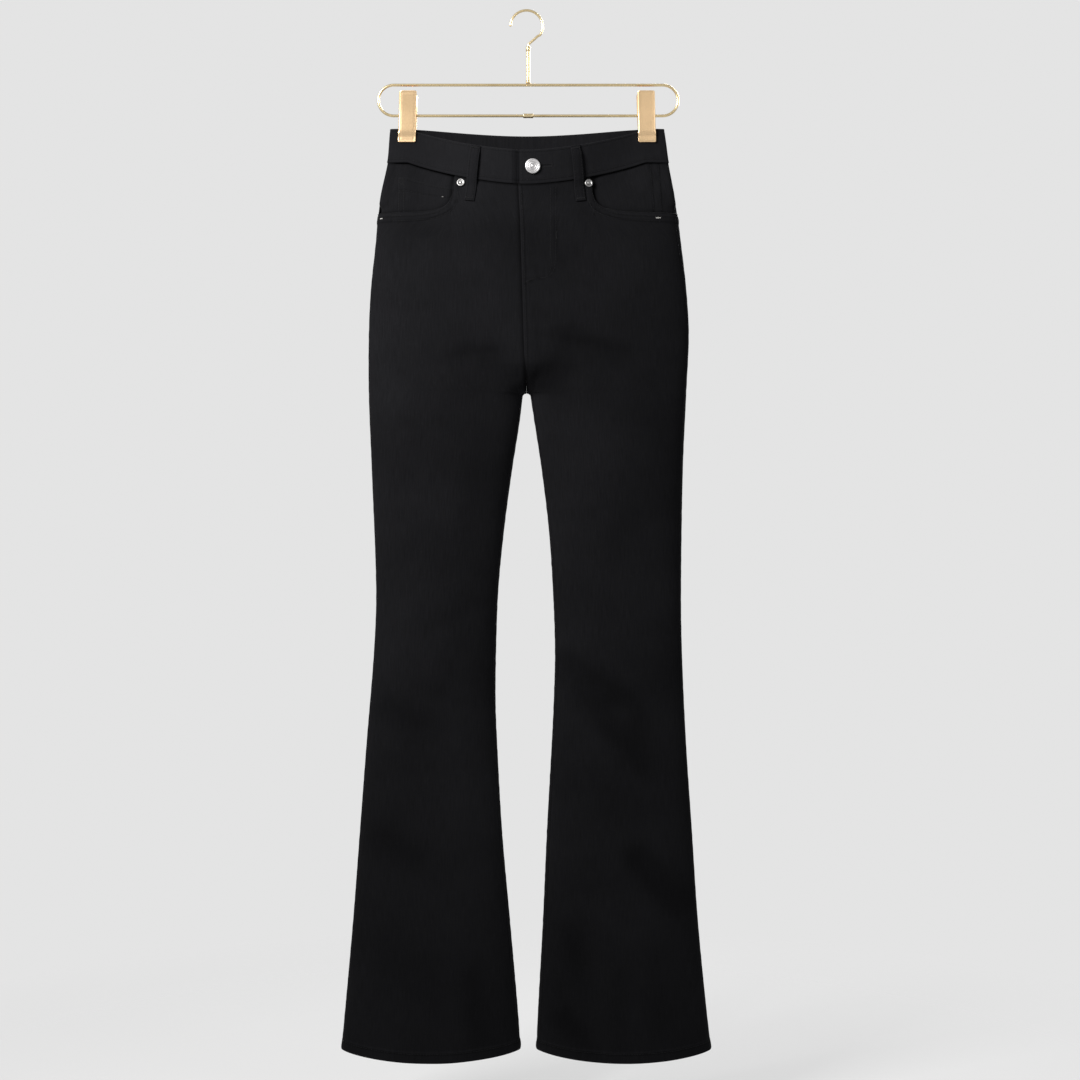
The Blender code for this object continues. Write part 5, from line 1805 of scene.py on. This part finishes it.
    def buttonhole(self) -> None:
        """Sew close stitches all round the slit, square to its edge."""
        (x0, x1), down, ring = self.hole_x, self.hole_down, 0.0014
        shares = np.linspace(0, 1, 34)
        path = [((x0 + (x1 - x0) * k, down - ring), (0.0, -1.0)) for k in shares]
        for a in np.linspace(0, math.pi, 9)[1:-1]:
            spot = (x1 - ring * math.sin(-a), down + ring * math.cos(a - math.pi))
            path.append((spot, (math.sin(a), -math.cos(a))))
        path += [((x1 - (x1 - x0) * k, down + ring), (0.0, 1.0)) for k in shares]
        for (x, at), (across, fall) in path:
            ends = [
                FORM.place_x(Face.FRONT, np.array(x + across * k), np.array(at + fall * k), np.array(0.0016), Leg.LEFT)
                for k in (-0.0008, 0.0010)
            ]
            self.sewing.stitch(self.cloth, Vector(ends[0]), Vector(ends[1]), 0.95)


@dataclass(frozen=True)
class LoopPlace:
    """A belt loop: its face, and x at its top and bottom."""

    name: str
    face: Face
    x_top: float
    x_bottom: float

    def x_at(self, down: Array, end: float) -> Array:
        """Where its middle is at a distance down, on a strap that ends there."""
        return self.x_top + (self.x_bottom - self.x_top) * down / end


@dataclass
class BeltLoops:
    """Five folded straps over the band, each sewn down at both ends."""

    finishes: Finishes
    sewing: Sewing
    width: float = 0.0115
    thickness: float = 0.0016
    ends: dict[Face, float] = field(default_factory=lambda: {Face.FRONT: 0.0750, Face.BACK: 0.0640})
    places: tuple[LoopPlace, ...] = (
        LoopPlace("belt_loop_front_right", Face.FRONT, -0.0602, -0.0678),
        LoopPlace("belt_loop_front_left", Face.FRONT, 0.0540, 0.0608),
        LoopPlace("belt_loop_back_right", Face.BACK, -0.0860, -0.0890),
        LoopPlace("belt_loop_back_middle", Face.BACK, -0.0019, -0.0019),
        LoopPlace("belt_loop_back_left", Face.BACK, 0.0822, 0.0852),
    )

    def rise(self, end: float) -> Track:
        """How far a strap stands off the band, along its length."""
        downs = (0.0008, 0.0040, 0.0085, 0.0140, 0.0260, 0.0400, 0.0480, 0.0530, end)
        clear = (0.0004, 0.0003, 0.0014, 0.0022, 0.0025, 0.0021, 0.0006, 0.0004, 0.0003)
        return Track(downs, np.array(clear) + FORM.band_proud * (np.array(downs) < 0.045) + 0.0001)

    def strap(self, place: LoopPlace) -> bpy.types.Object:
        """Build one strap.

        Args:
            place: Where it is.

        Returns:
            The finished piece.
        """
        end = self.ends[place.face]
        rise = self.rise(end)
        s, t = np.meshgrid(np.linspace(-0.5, 0.5, 19), np.linspace(0, 1, 62), indexing="ij")
        down = 0.0008 + (end - 0.0008) * t
        x = place.x_at(down, end) + s * self.width
        from_edge = (0.5 - np.abs(s)) * self.width
        lift = rise.at(down) + self.thickness
        lift = lift - 0.0007 * bump(from_edge, 0.0008) + 0.0003 * bump(s, 0.16)
        lift -= 0.00022 * bump(from_edge - 0.0019, 0.0007)
        lift += 0.00012 * ripple(down, 0.009, 7)
        # the strap's edges and ends are rubbed lighter; painted shade darkens the grooves of its rows
        wear = 0.35 * bump(from_edge - 0.0003, 0.0007) + 0.4 * bump(down - 0.0008, 0.0010)
        wear += 0.3 * bump(end - down, 0.0009)
        wear -= 0.4 * bump(from_edge - 0.0019, 0.0008)
        points = FORM.place_x(place.face, x, down, lift)
        sheet = Sheet(points, wear, self.thickness)
        made = sheet.build(place.name, place.face.value, self.finishes.denim, "waistband_denim")
        downs = np.linspace(0.004, end - 0.002, 30)
        x = place.x_at(downs, end)
        height = rise.at(downs) + self.thickness + 0.0006
        for side in (-1, 1):
            line = FORM.place_x(place.face, x + side * (self.width / 2 - 0.0019), downs, height)
            self.sewing.row(made, line)
        for down in (0.0034, end - 0.0045):
            xs = place.x_at(down, end) + np.array((-0.5, 0.5)) * (self.width - 0.0016)
            ends = FORM.place_x(place.face, xs, np.full(2, down), float(rise.at(down)) + self.thickness + 0.0006)
            self.sewing.bartack(made, ends, np.array((0.0, 0.0, 0.0022)), 0.00055)
        return made

    def build(self) -> None:
        """Build the five straps."""
        for place in self.places:
            self.strap(place)


# ---- button and rivets -----------------------------------------------------------------------------
@dataclass
class Trims:
    """The shank button and the two pocket rivets, all plain."""

    finishes: Finishes
    button_x: float = 0.0052
    button_down: float = 0.0195
    button_radius: float = 0.0088
    rivet_radius: float = 0.0047
    rivet_down: float = 0.048
    rivet_x: dict[Leg, float] = field(default_factory=lambda: {Leg.RIGHT: -0.0781, Leg.LEFT: 0.0703})

    def outward(self, x: float, down: float) -> Vector:
        """The front cloth's normal at a place."""
        step = 0.002
        xs, downs = np.array((x + step, x - step, x, x)), np.array((down, down, down + step, down - step))
        points = FORM.place_x(Face.FRONT, xs, downs)
        normal = Vector(np.cross(points[0] - points[1], points[2] - points[3])).normalized()
        return normal if normal.y < 0 else -normal

    def seat(self, x: float, down: float, proud: float, clear: float) -> Matrix:
        """Stand a trim on the front cloth, square to it.

        Args:
            x: Where it is across the garment.
            down: Its distance down.
            proud: How far the cloth's outside is lifted there.
            clear: How far the trim's back stands off it.

        Returns:
            The matrix that puts it in place.
        """
        normal = self.outward(x, down)
        foot = Vector(FORM.place_x(Face.FRONT, np.array([x]), np.array([down]), proud)[0]) + normal * clear
        return Matrix.Translation(foot) @ Vector((0, 0, 1)).rotation_difference(normal).to_matrix().to_4x4()

    def button(self) -> bpy.types.Object:
        """Build the button: a rolled rim, two beads in rings and a small plain dome.

        Returns:
            The finished piece.
        """
        r = self.button_radius
        profile = [(0.0, 0.0), (r * 0.80, 0.0)]
        for a in np.linspace(0.2, math.pi, 9):
            profile.append((r - 0.0011 + 0.0011 * math.sin(a), 0.0013 - 0.0011 * math.cos(a)))
        profile += [(r * 0.86, 0.0021), (r * 0.835, 0.00180), (r * 0.80, 0.00172)]
        for middle, half in ((0.655, 0.085), (0.395, 0.070)):
            for angle in np.linspace(0, math.pi, 7):
                profile.append((r * (middle + half * math.cos(angle)), 0.00176 + 0.00052 * math.sin(angle)))
            profile.append((r * (middle - half - 0.02), 0.00158))
        dome = np.linspace(0.22, 0.0, 7)
        profile += [(r * k, 0.0021 + 0.0009 * math.sqrt(max(1 - (k / 0.235) ** 2, 0))) for k in dome]
        place = self.seat(self.button_x, self.button_down, FORM.band_proud, 0.0006)
        made = turned_piece("button_rings", "button", profile, place, 64, (self.finishes.silver, "silver_trim", 50))
        SEWN_ON.setdefault("waistband_denim", []).append(made)
        return made

    def rivet(self, leg: Leg) -> bpy.types.Object:
        """Build one rivet: a domed cap round a small nub.

        Args:
            leg: The leg that it is on.

        Returns:
            The finished piece.
        """
        r = self.rivet_radius
        profile = [(0.0, 0.0), (r * 0.92, 0.0), (r, 0.0004), (r * 0.99, 0.0008), (r * 0.92, 0.0011), (r * 0.82, 0.0013)]
        profile += [(r * 0.70, 0.00118), (r * 0.62, 0.00080), (r * 0.54, 0.00052), (r * 0.44, 0.00050)]
        profile += [(r * 0.39, 0.00090), (r * 0.34, 0.00140), (r * 0.27, 0.00168), (r * 0.14, 0.00182), (0.0, 0.00186)]
        place = self.seat(self.rivet_x[leg], self.rivet_down, 0.0, 0.0007)
        look = (self.finishes.rivet, "silver_trim", 50)
        made = turned_piece(f"rivet_{leg.side}_cap", f"rivet_{leg.side}", profile, place, 40, look)
        SEWN_ON.setdefault(f"front_{leg.side}_denim", []).append(made)
        return made

    def build(self) -> None:
        """Build the button and both rivets."""
        self.button()
        for leg in Leg:
            self.rivet(leg)


# ---- hanger ----------------------------------------------------------------------------------------
class WireBender:
    """Bends round wire: a ring of edges is pushed along straight runs and round bends."""

    def __init__(self, radius: float, start: Vector, along: Vector, sides: int = 16) -> None:
        """Start a wire.

        Args:
            radius: The wire's radius.
            start: Where it starts.
            along: The way it sets off.
            sides: Sides of its section.
        """
        self.bm = bmesh.new()
        self.radius, self.place, self.along = radius, start.copy(), along.normalized()
        turn = Vector((0, 0, 1)).rotation_difference(self.along).to_matrix().to_4x4()
        made = bmesh.ops.create_circle(
            self.bm, cap_ends=False, radius=radius, segments=sides, matrix=Matrix.Translation(start) @ turn
        )
        self.ring = list({e for v in made["verts"] for e in v.link_edges})
        self.first = list(made["verts"])

    def verts(self) -> list[bmesh.types.BMVert]:
        """The verts of the open end."""
        return list({v for e in self.ring for v in e.verts})

    def push(self) -> list[bmesh.types.BMVert]:
        """Extrude the open end and return its new verts."""
        made = bmesh.ops.extrude_edge_only(self.bm, edges=self.ring)["geom"]
        verts = {g for g in made if isinstance(g, bmesh.types.BMVert)}
        self.ring = [g for g in made if isinstance(g, bmesh.types.BMEdge) and set(g.verts) <= verts]
        return list(verts)

    def straight(self, length: float, steps: int = 1) -> None:
        """Run straight on."""
        for _ in range(steps):
            bmesh.ops.translate(self.bm, verts=self.push(), vec=self.along * length / steps)
            self.place = self.place + self.along * length / steps

    def bend(self, centre: Vector, axis: Vector, angle: float, steps: int) -> None:
        """Bend round a centre."""
        turn = Matrix.Rotation(angle, 3, axis)
        geom = self.verts() + self.ring
        made = bmesh.ops.spin(
            self.bm, geom=geom, cent=centre, axis=axis, angle=angle, steps=steps, use_duplicate=False
        )
        self.ring = [g for g in made["geom_last"] if isinstance(g, bmesh.types.BMEdge)]
        self.place = centre + turn @ (self.place - centre)
        self.along = turn @ self.along

    def follow(self, path: Sequence[Vector]) -> None:
        """Go through a line of points, turning square to it at each."""
        for i, point in enumerate(path):
            onward = (path[i + 1] - self.place) if i + 1 < len(path) else (point - self.place)
            onward = onward.normalized()
            turn = self.along.rotation_difference(onward).to_matrix().to_4x4()
            verts = self.push()
            moved = Matrix.Translation(point) @ turn @ Matrix.Translation(-self.place)
            bmesh.ops.transform(self.bm, verts=verts, matrix=moved)
            self.place, self.along = point.copy(), onward

    def round_end(self) -> None:
        """Close the open end with a dome."""
        for before, share in ((0.0, 0.38), (0.38, 0.70), (0.70, 0.90)):
            verts = self.push()
            scale = math.sqrt(1 - share**2) / math.sqrt(1 - before**2)
            forward = self.along * (self.radius * (share - before))
            spot = Matrix.Translation(self.place)
            bmesh.ops.transform(self.bm, verts=verts, matrix=spot @ Matrix.Scale(scale, 4) @ spot.inverted())
            bmesh.ops.translate(self.bm, verts=verts, vec=forward)
            self.place = self.place + forward
        bmesh.ops.edgeloop_fill(self.bm, edges=self.ring)

    def close(self, flat: bool = False) -> bmesh.types.BMesh:
        """Weld a loop shut, or fill the ends where flat, and hand the wire over."""
        if flat:
            bmesh.ops.holes_fill(self.bm, edges=[e for e in self.bm.edges if e.is_boundary], sides=0)
        else:
            bmesh.ops.remove_doubles(self.bm, verts=self.bm.verts, dist=2e-5)
        bmesh.ops.recalc_face_normals(self.bm, faces=self.bm.faces)
        return self.bm


@dataclass
class Hanger:
    """The gilt hanger: a long closed loop of wire, a stem, a turned hook and a sleeve at the middle."""

    finishes: Finishes
    wire_radius: float = 0.00165
    hook_wire_radius: float = 0.00145
    hook_radius: float = 0.0188
    top_bar: float = -0.0860
    bottom_bar: float = -0.1220
    half_length: float = 0.1753
    stem_top: float = -0.0410
    stem_radius: float = 0.00265
    ferrule_length: float = 0.0120
    ferrule_radius: float = 0.00270
    gap: float = 0.0003

    def loop(self) -> bpy.types.Object:
        """Build the loop that the clips slide on."""
        radius = (self.top_bar - self.bottom_bar) / 2
        reach, height = self.half_length - radius, (self.top_bar + self.bottom_bar) / 2
        out = Vector((0, 1, 0))
        wire = WireBender(self.wire_radius, Vector((-reach, 0, self.bottom_bar)), Vector((1, 0, 0)), 20)
        wire.straight(2 * reach, 24)
        wire.bend(Vector((reach, 0, height)), -out, math.pi, 28)
        wire.straight(2 * reach, 24)
        wire.bend(Vector((-reach, 0, height)), -out, math.pi, 28)
        return finish_piece("hanger_loop_wire", wire.close(), self.finishes.wire, "hanger_wire")

    def hook(self) -> bpy.types.Object:
        """Build the hook: it rises from the stem, leans out and turns over the rail."""
        centre = Vector((-0.0020, 0, -self.hook_radius + self.hook_wire_radius))
        foot = Vector((0, 0, self.stem_top + self.gap))
        knots = [(0.0, self.stem_top + 0.0014), (0.0007, self.stem_top + 0.0028), (0.0022, self.stem_top + 0.0044)]
        knots += [(0.0048, self.stem_top + 0.0066), (0.0078, self.stem_top + 0.0091), (0.0108, self.stem_top + 0.0120)]
        path = [Vector((x, 0, z)) for x, z in knots]
        for angle in np.radians(np.linspace(-32, 176, 58)):
            path.append(centre + self.hook_radius * Vector((math.cos(angle), 0, math.sin(angle))))
        wire = WireBender(self.hook_wire_radius, foot, Vector((0, 0, 1)), 16)
        wire.follow(path)
        wire.round_end()
        bm = wire.close(flat=True)
        return finish_piece("hanger_hook_wire", bm, self.finishes.wire, "hanger_hook")

    def stem(self) -> bpy.types.Object:
        """Build the rod between the loop and the hook, with its turned collars."""
        low = self.top_bar + self.wire_radius + self.gap
        tall, r = self.stem_top - low, self.stem_radius
        profile = [(0.0, 0.0), (r * 0.88, 0.0), (r, 0.0004), (r, 0.0030), (r * 0.90, 0.0034), (r * 0.86, 0.0040)]
        profile += [(r * 0.86, tall - 0.0060), (r * 0.90, tall - 0.0054), (r, tall - 0.0050), (r, tall - 0.0008)]
        profile += [(r * 0.92, tall - 0.0003), (r * 0.70, tall), (0.0, tall)]
        look = (self.finishes.wire, "gold_wire", 40)
        return turned_piece("hanger_stem_rod", "hanger_stem", profile, Matrix.Translation((0, 0, low)), 36, look)

    def ferrule(self) -> bpy.types.Object:
        """Build the sleeve that joins the wire's ends on the bottom bar."""
        half, bore, r = self.ferrule_length / 2, self.wire_radius + 0.00005, self.ferrule_radius
        upper = [(r * 0.97, 0.0012), (r, half - 0.0011), (r * 0.94, half - 0.0004), (r * 0.80, half), (bore, half)]
        profile = [(across, -up) for across, up in upper[::-1]] + [(r * 0.93, 0.0)] + upper
        turn = Matrix.Translation((0, 0, self.bottom_bar)) @ Matrix.Rotation(math.pi / 2, 4, "Y")
        look = (self.finishes.wire, "gold_wire", 40)
        return turned_piece("hanger_ferrule_sleeve", "hanger_ferrule", profile, turn, 36, look, closed=True)

    def build(self) -> None:
        """Build the hanger's four pieces."""
        self.loop()
        self.hook()
        self.stem()
        self.ferrule()


@dataclass
class Clips:
    """Two sprung clips: bent plates with ears on the bar, and a coil spring between them."""

    finishes: Finishes
    bar: float = -0.1220
    wire_radius: float = 0.00165
    clip_x: dict[Leg, float] = field(default_factory=lambda: {Leg.RIGHT: -0.1408, Leg.LEFT: 0.1381})
    width: float = 0.0205
    top: float = -0.0949
    foot: float = -0.1535
    metal: float = 0.0012
    head_y: float = 0.0105
    jaw_y: float = 0.0036
    splay: float = math.radians(1.8)
    ear_x: dict[Face, float] = field(default_factory=lambda: {Face.FRONT: 0.0086, Face.BACK: 0.0073})
    ear_metal: float = 0.0009
    ear_radius: float = 0.0034
    ear_base: float = 0.0069
    spring_radius: float = 0.0033
    spring_wire: float = 0.00050
    spring_length: float = 0.0112
    spring_turns: int = 8

    def lean(self) -> tuple[Track, Track]:
        """How far a plate's inner face stands off the middle, and how far its edges turn in, by depth."""
        upper = (self.top, self.bar + 0.0060, self.bar - 0.0060)
        downs = [self.top - z for z in (*upper, *(self.foot + up for up in (0.0130, 0.0100, 0.0060, 0.0)))]
        ys = (self.head_y, 0.0072, 0.0060, 0.0050, 0.0044, self.jaw_y, self.jaw_y)
        rolls = (0.0010, 0.0010, 0.0010, 0.0010, 0.0, 0.0, 0.0)
        return Track(downs, ys), Track(downs, rolls)

    def stand(self, point: Vector, leg: Leg) -> Vector:
        """Stand a clip's point in place and splay it about the bar."""
        reach = point.z - self.bar
        x = self.clip_x[leg] + point.x - leg.value * reach * math.tan(self.splay)
        return Vector((x, point.y, point.z))

    def plate(self, leg: Leg, face: Face) -> bpy.types.Object:
        """Build one plate with its two ears.

        Args:
            leg: The side that the clip is on.
            face: The face that the plate is on.

        Returns:
            The finished piece.
        """
        ys, rolls = self.lean()
        tall, half = self.top - self.foot, self.width / 2
        bm = bmesh.new()
        bmesh.ops.create_grid(bm, x_segments=24, y_segments=44, size=0.5)
        corner = 0.0011
        for vert in bm.verts:
            s, t = vert.co.x * 2, 0.5 - vert.co.y
            down = tall * (0.5 - 0.5 * math.cos(math.pi * t)) * 0.35 + tall * t * 0.65
            near = min(down, tall - down)
            inset = corner - math.sqrt(max(corner**2 - (corner - near) ** 2, 0.0)) if near < corner else 0.0
            x = s * (half - inset)
            edge = half - abs(s) * half
            roll = float(rolls.at(down)) * (1 - float(smooth(0.0, 0.0016, edge)))
            # a shallow pressed border follows the plate's edge
            rim = min(edge, near)
            press = -0.00022 * math.exp(-(((rim - 0.0023) / 0.0006) ** 2))
            y = float(ys.at(down)) + self.metal - max(roll, 0.0) + press
            vert.co = self.stand(Vector((x, face.value * y, self.top - down)), leg)
        bm.normal_update()
        if sum(f.normal.y for f in bm.faces) * face.value < 0:
            bmesh.ops.reverse_faces(bm, faces=bm.faces)
        bmesh.ops.solidify(bm, geom=bm.faces[:], thickness=self.metal)
        rims = [e for e in bm.edges if len(e.link_faces) == 2 and e.calc_face_angle(0.0) > math.radians(55)]
        bmesh.ops.bevel(
            bm, geom=rims, offset=0.00022, offset_type="OFFSET", segments=2, profile=0.5, affect="EDGES", material=-1
        )
        for side in (-1, 1):
            self.ear(bm, self.clip_x[leg] + side * self.ear_x[face], face)
        node = f"clip_{leg.side}_{face.name.lower()}"
        return finish_piece(f"{node}_plate", bm, self.finishes.clip, node, 42)

    def ear(self, bm: bmesh.types.BMesh, x: float, face: Face) -> None:
        """Add an ear that reaches in from the plate and hooks round the bar.

        Args:
            bm: The plate's mesh.
            x: Where it stands.
            face: The plate's face.
        """
        sides = 28
        loops = []
        for radius in (self.ear_radius, self.wire_radius + 0.00025):
            turn = Matrix.Translation((x - self.ear_metal / 2, 0, self.bar)) @ Matrix.Rotation(math.pi / 2, 4, "Y")
            made = bmesh.ops.create_circle(bm, cap_ends=False, radius=radius, segments=sides, matrix=turn)
            loops.append(made["verts"])
        for vert in loops[0]:
            y, z = vert.co.y * face.value / self.ear_radius, (vert.co.z - self.bar) / self.ear_radius
            reach = max(y, 0.0) ** 0.5
            vert.co.y = face.value * (self.ear_radius * y * (1 - reach) + self.ear_base * reach)
            vert.co.z = self.bar + self.ear_radius * z * (1 + 0.9 * reach)
        edges = list({e for loop in loops for v in loop for e in v.link_edges})
        flat = bmesh.ops.bridge_loops(bm, edges=edges)["faces"]
        made = bmesh.ops.extrude_face_region(bm, geom=flat)["geom"]
        moved = [g for g in made if isinstance(g, bmesh.types.BMVert)]
        bmesh.ops.translate(bm, verts=moved, vec=(self.ear_metal, 0, 0))
        shell = list({f for v in moved for f in v.link_faces} | set(flat))
        bmesh.ops.recalc_face_normals(bm, faces=shell)

    def spring(self, leg: Leg) -> bpy.types.Object:
        """Build the coil, with the two straight arms that press on the plates.

        Args:
            leg: The side that the clip is on.

        Returns:
            The finished piece.
        """
        x0, r = self.clip_x[leg] - self.spring_length / 2, self.spring_radius
        start = Vector((x0, -r * 0.35, self.bar + r + 0.0052))
        wire = WireBender(self.spring_wire, start, Vector((0, 0.32, -1)), 8)
        path = []
        steps = self.spring_turns * 22
        for k in range(steps + 1):
            angle = math.tau * self.spring_turns * k / steps
            x = x0 + self.spring_length * k / steps
            path.append(Vector((x, -r * math.cos(angle), self.bar - r * math.sin(angle))))
        lead = [start.lerp(path[0] + Vector((0, 0, 0.0012)), k) for k in (0.35, 0.7, 1.0)]
        end = path[-1]
        tail = [end + Vector((0, y, z)) for y, z in ((-0.0002, -0.0012), (0.0006, -0.0034), (0.0012, -0.0062))]
        wire.follow(lead + path + tail)
        bm = wire.close(flat=True)
        name = f"clip_{leg.side}"
        return finish_piece(f"{name}_coil", bm, self.finishes.spring, f"{name}_spring", 60)

    def build(self) -> None:
        """Build both clips."""
        for leg in Leg:
            for face in Face:
                self.plate(leg, face)
            self.spring(leg)


# ---- studio ----------------------------------------------------------------------------------------
@dataclass
class Lamp:
    """A soft square lamp."""

    name: str
    place: tuple[float, float, float]
    aim: tuple[float, float, float]
    size: float
    watts: float
    colour: tuple[float, float, float] = (1.0, 1.0, 1.0)

    def build(self) -> None:
        """Hang the lamp."""
        light = bpy.data.lights.new(self.name, "AREA")
        light.shape, light.size, light.energy, light.color = "SQUARE", self.size, self.watts, self.colour
        lamp = bpy.data.objects.new(self.name, light)
        bpy.context.scene.collection.objects.link(lamp)
        lamp.location = self.place
        lamp.rotation_euler = (Vector(self.aim) - Vector(self.place)).to_track_quat("-Z", "Y").to_euler()


@dataclass
class Studio:
    """The camera at the photograph's place, soft lamps, a pale surround and a plain floor."""

    camera_place: tuple[float, float, float] = (0.0138, -2.2, -0.6182)
    view_width: float = 1.2636
    floor_z: float = -1.290
    floor_radius: float = 1.10
    surround: float = 0.775
    mirrored: float = 0.50
    fill: float = 0.11

    def camera(self) -> None:
        """Set up the camera."""
        data = bpy.data.cameras.new("camera")
        data.sensor_fit, data.sensor_width = "HORIZONTAL", 36.0
        data.lens = 36.0 * -self.camera_place[1] / self.view_width
        data.clip_start, data.clip_end = 0.05, 50.0
        data.dof.use_dof = False
        camera = bpy.data.objects.new("camera", data)
        camera.location = self.camera_place
        camera.rotation_euler = (math.pi / 2, 0.0, 0.0)
        bpy.context.scene.collection.objects.link(camera)
        bpy.context.scene.camera = camera

    def lamps(self) -> None:
        """Hang the lamps."""
        Lamp("key", (-0.85, -0.88, 0.34), (0.0, 0.0, -0.32), 0.55, 27.0, (1.0, 0.99, 0.98)).build()
        Lamp("side", (1.7, -1.3, 0.3), (0.0, 0.0, -0.4), 1.0, 6.0, (0.97, 0.98, 1.0)).build()
        Lamp("card", (0.55, -2.3, -0.12), (0.14, 0.0, -0.12), 0.35, 0.85, (1.0, 0.97, 0.95)).build()
        Lamp("back", (0.8, 1.3, 0.5), (0.0, 0.0, -0.4), 1.0, 34.0).build()

    def world(self) -> None:
        """Set the pale surround that the camera sees, and the softer light that it gives."""
        world = bpy.data.worlds.new("surround")
        world.use_nodes = True
        bpy.context.scene.world = world
        bench, nodes = NodeBench(world.node_tree), world.node_tree.nodes
        seen = nodes["Background"]
        bench.set_inputs(seen, {"Color": (self.surround,) * 3 + (1.0,)})
        path = bench.add("LightPath").outputs
        strength = bench.remap(path["Is Glossy Ray"], (0.0, 1.0), (self.fill, self.mirrored))
        given = bench.add("Background", {"Color": (0.985, 0.99, 1.0, 1.0), "Strength": strength})
        choose = bench.add("MixShader", {0: path["Is Camera Ray"], 1: given.outputs[0], 2: seen.outputs[0]})
        bench.set_inputs(nodes["World Output"], {0: choose.outputs[0]})
        bpy.context.scene.view_settings.view_transform = "Standard"

    def floor(self) -> None:
        """Lay the floor below the hems."""
        bm = bmesh.new()
        bmesh.ops.create_circle(
            bm, cap_ends=True, radius=self.floor_radius, segments=96, matrix=Matrix.Translation((0, 0, self.floor_z))
        )
        mesh = bpy.data.meshes.new("floor")
        bm.to_mesh(mesh)
        bm.free()
        mesh.materials.append(StudioFloor().material())
        floor = new_object("floor", mesh)

    def build(self) -> None:
        """Set the whole studio up."""
        self.camera()
        self.lamps()
        self.world()
        self.floor()


def main() -> None:
    """Build the studio, then the garment and the hanger."""
    logging.basicConfig(level=logging.INFO, format="%(message)s")
    Studio().build()
    finishes = Finishes()
    sewing = Sewing(finishes.thread)
    tacking = Sewing(finishes.pale_thread, "pale_tacks")
    legs = LegPanels(finishes, sewing, tacking)
    legs.build()
    Yokes(finishes, sewing, legs).build()
    FrontPockets(finishes, sewing, tacking, legs).build()
    BackPockets(finishes, sewing).build()
    Waistband(finishes, sewing).build()
    BeltLoops(finishes, sewing).build()
    sewing.finish()
    tacking.finish()
    Trims(finishes).build()
    Hanger(finishes).build()
    Clips(finishes).build()


if __name__ == "__main__":
    main()
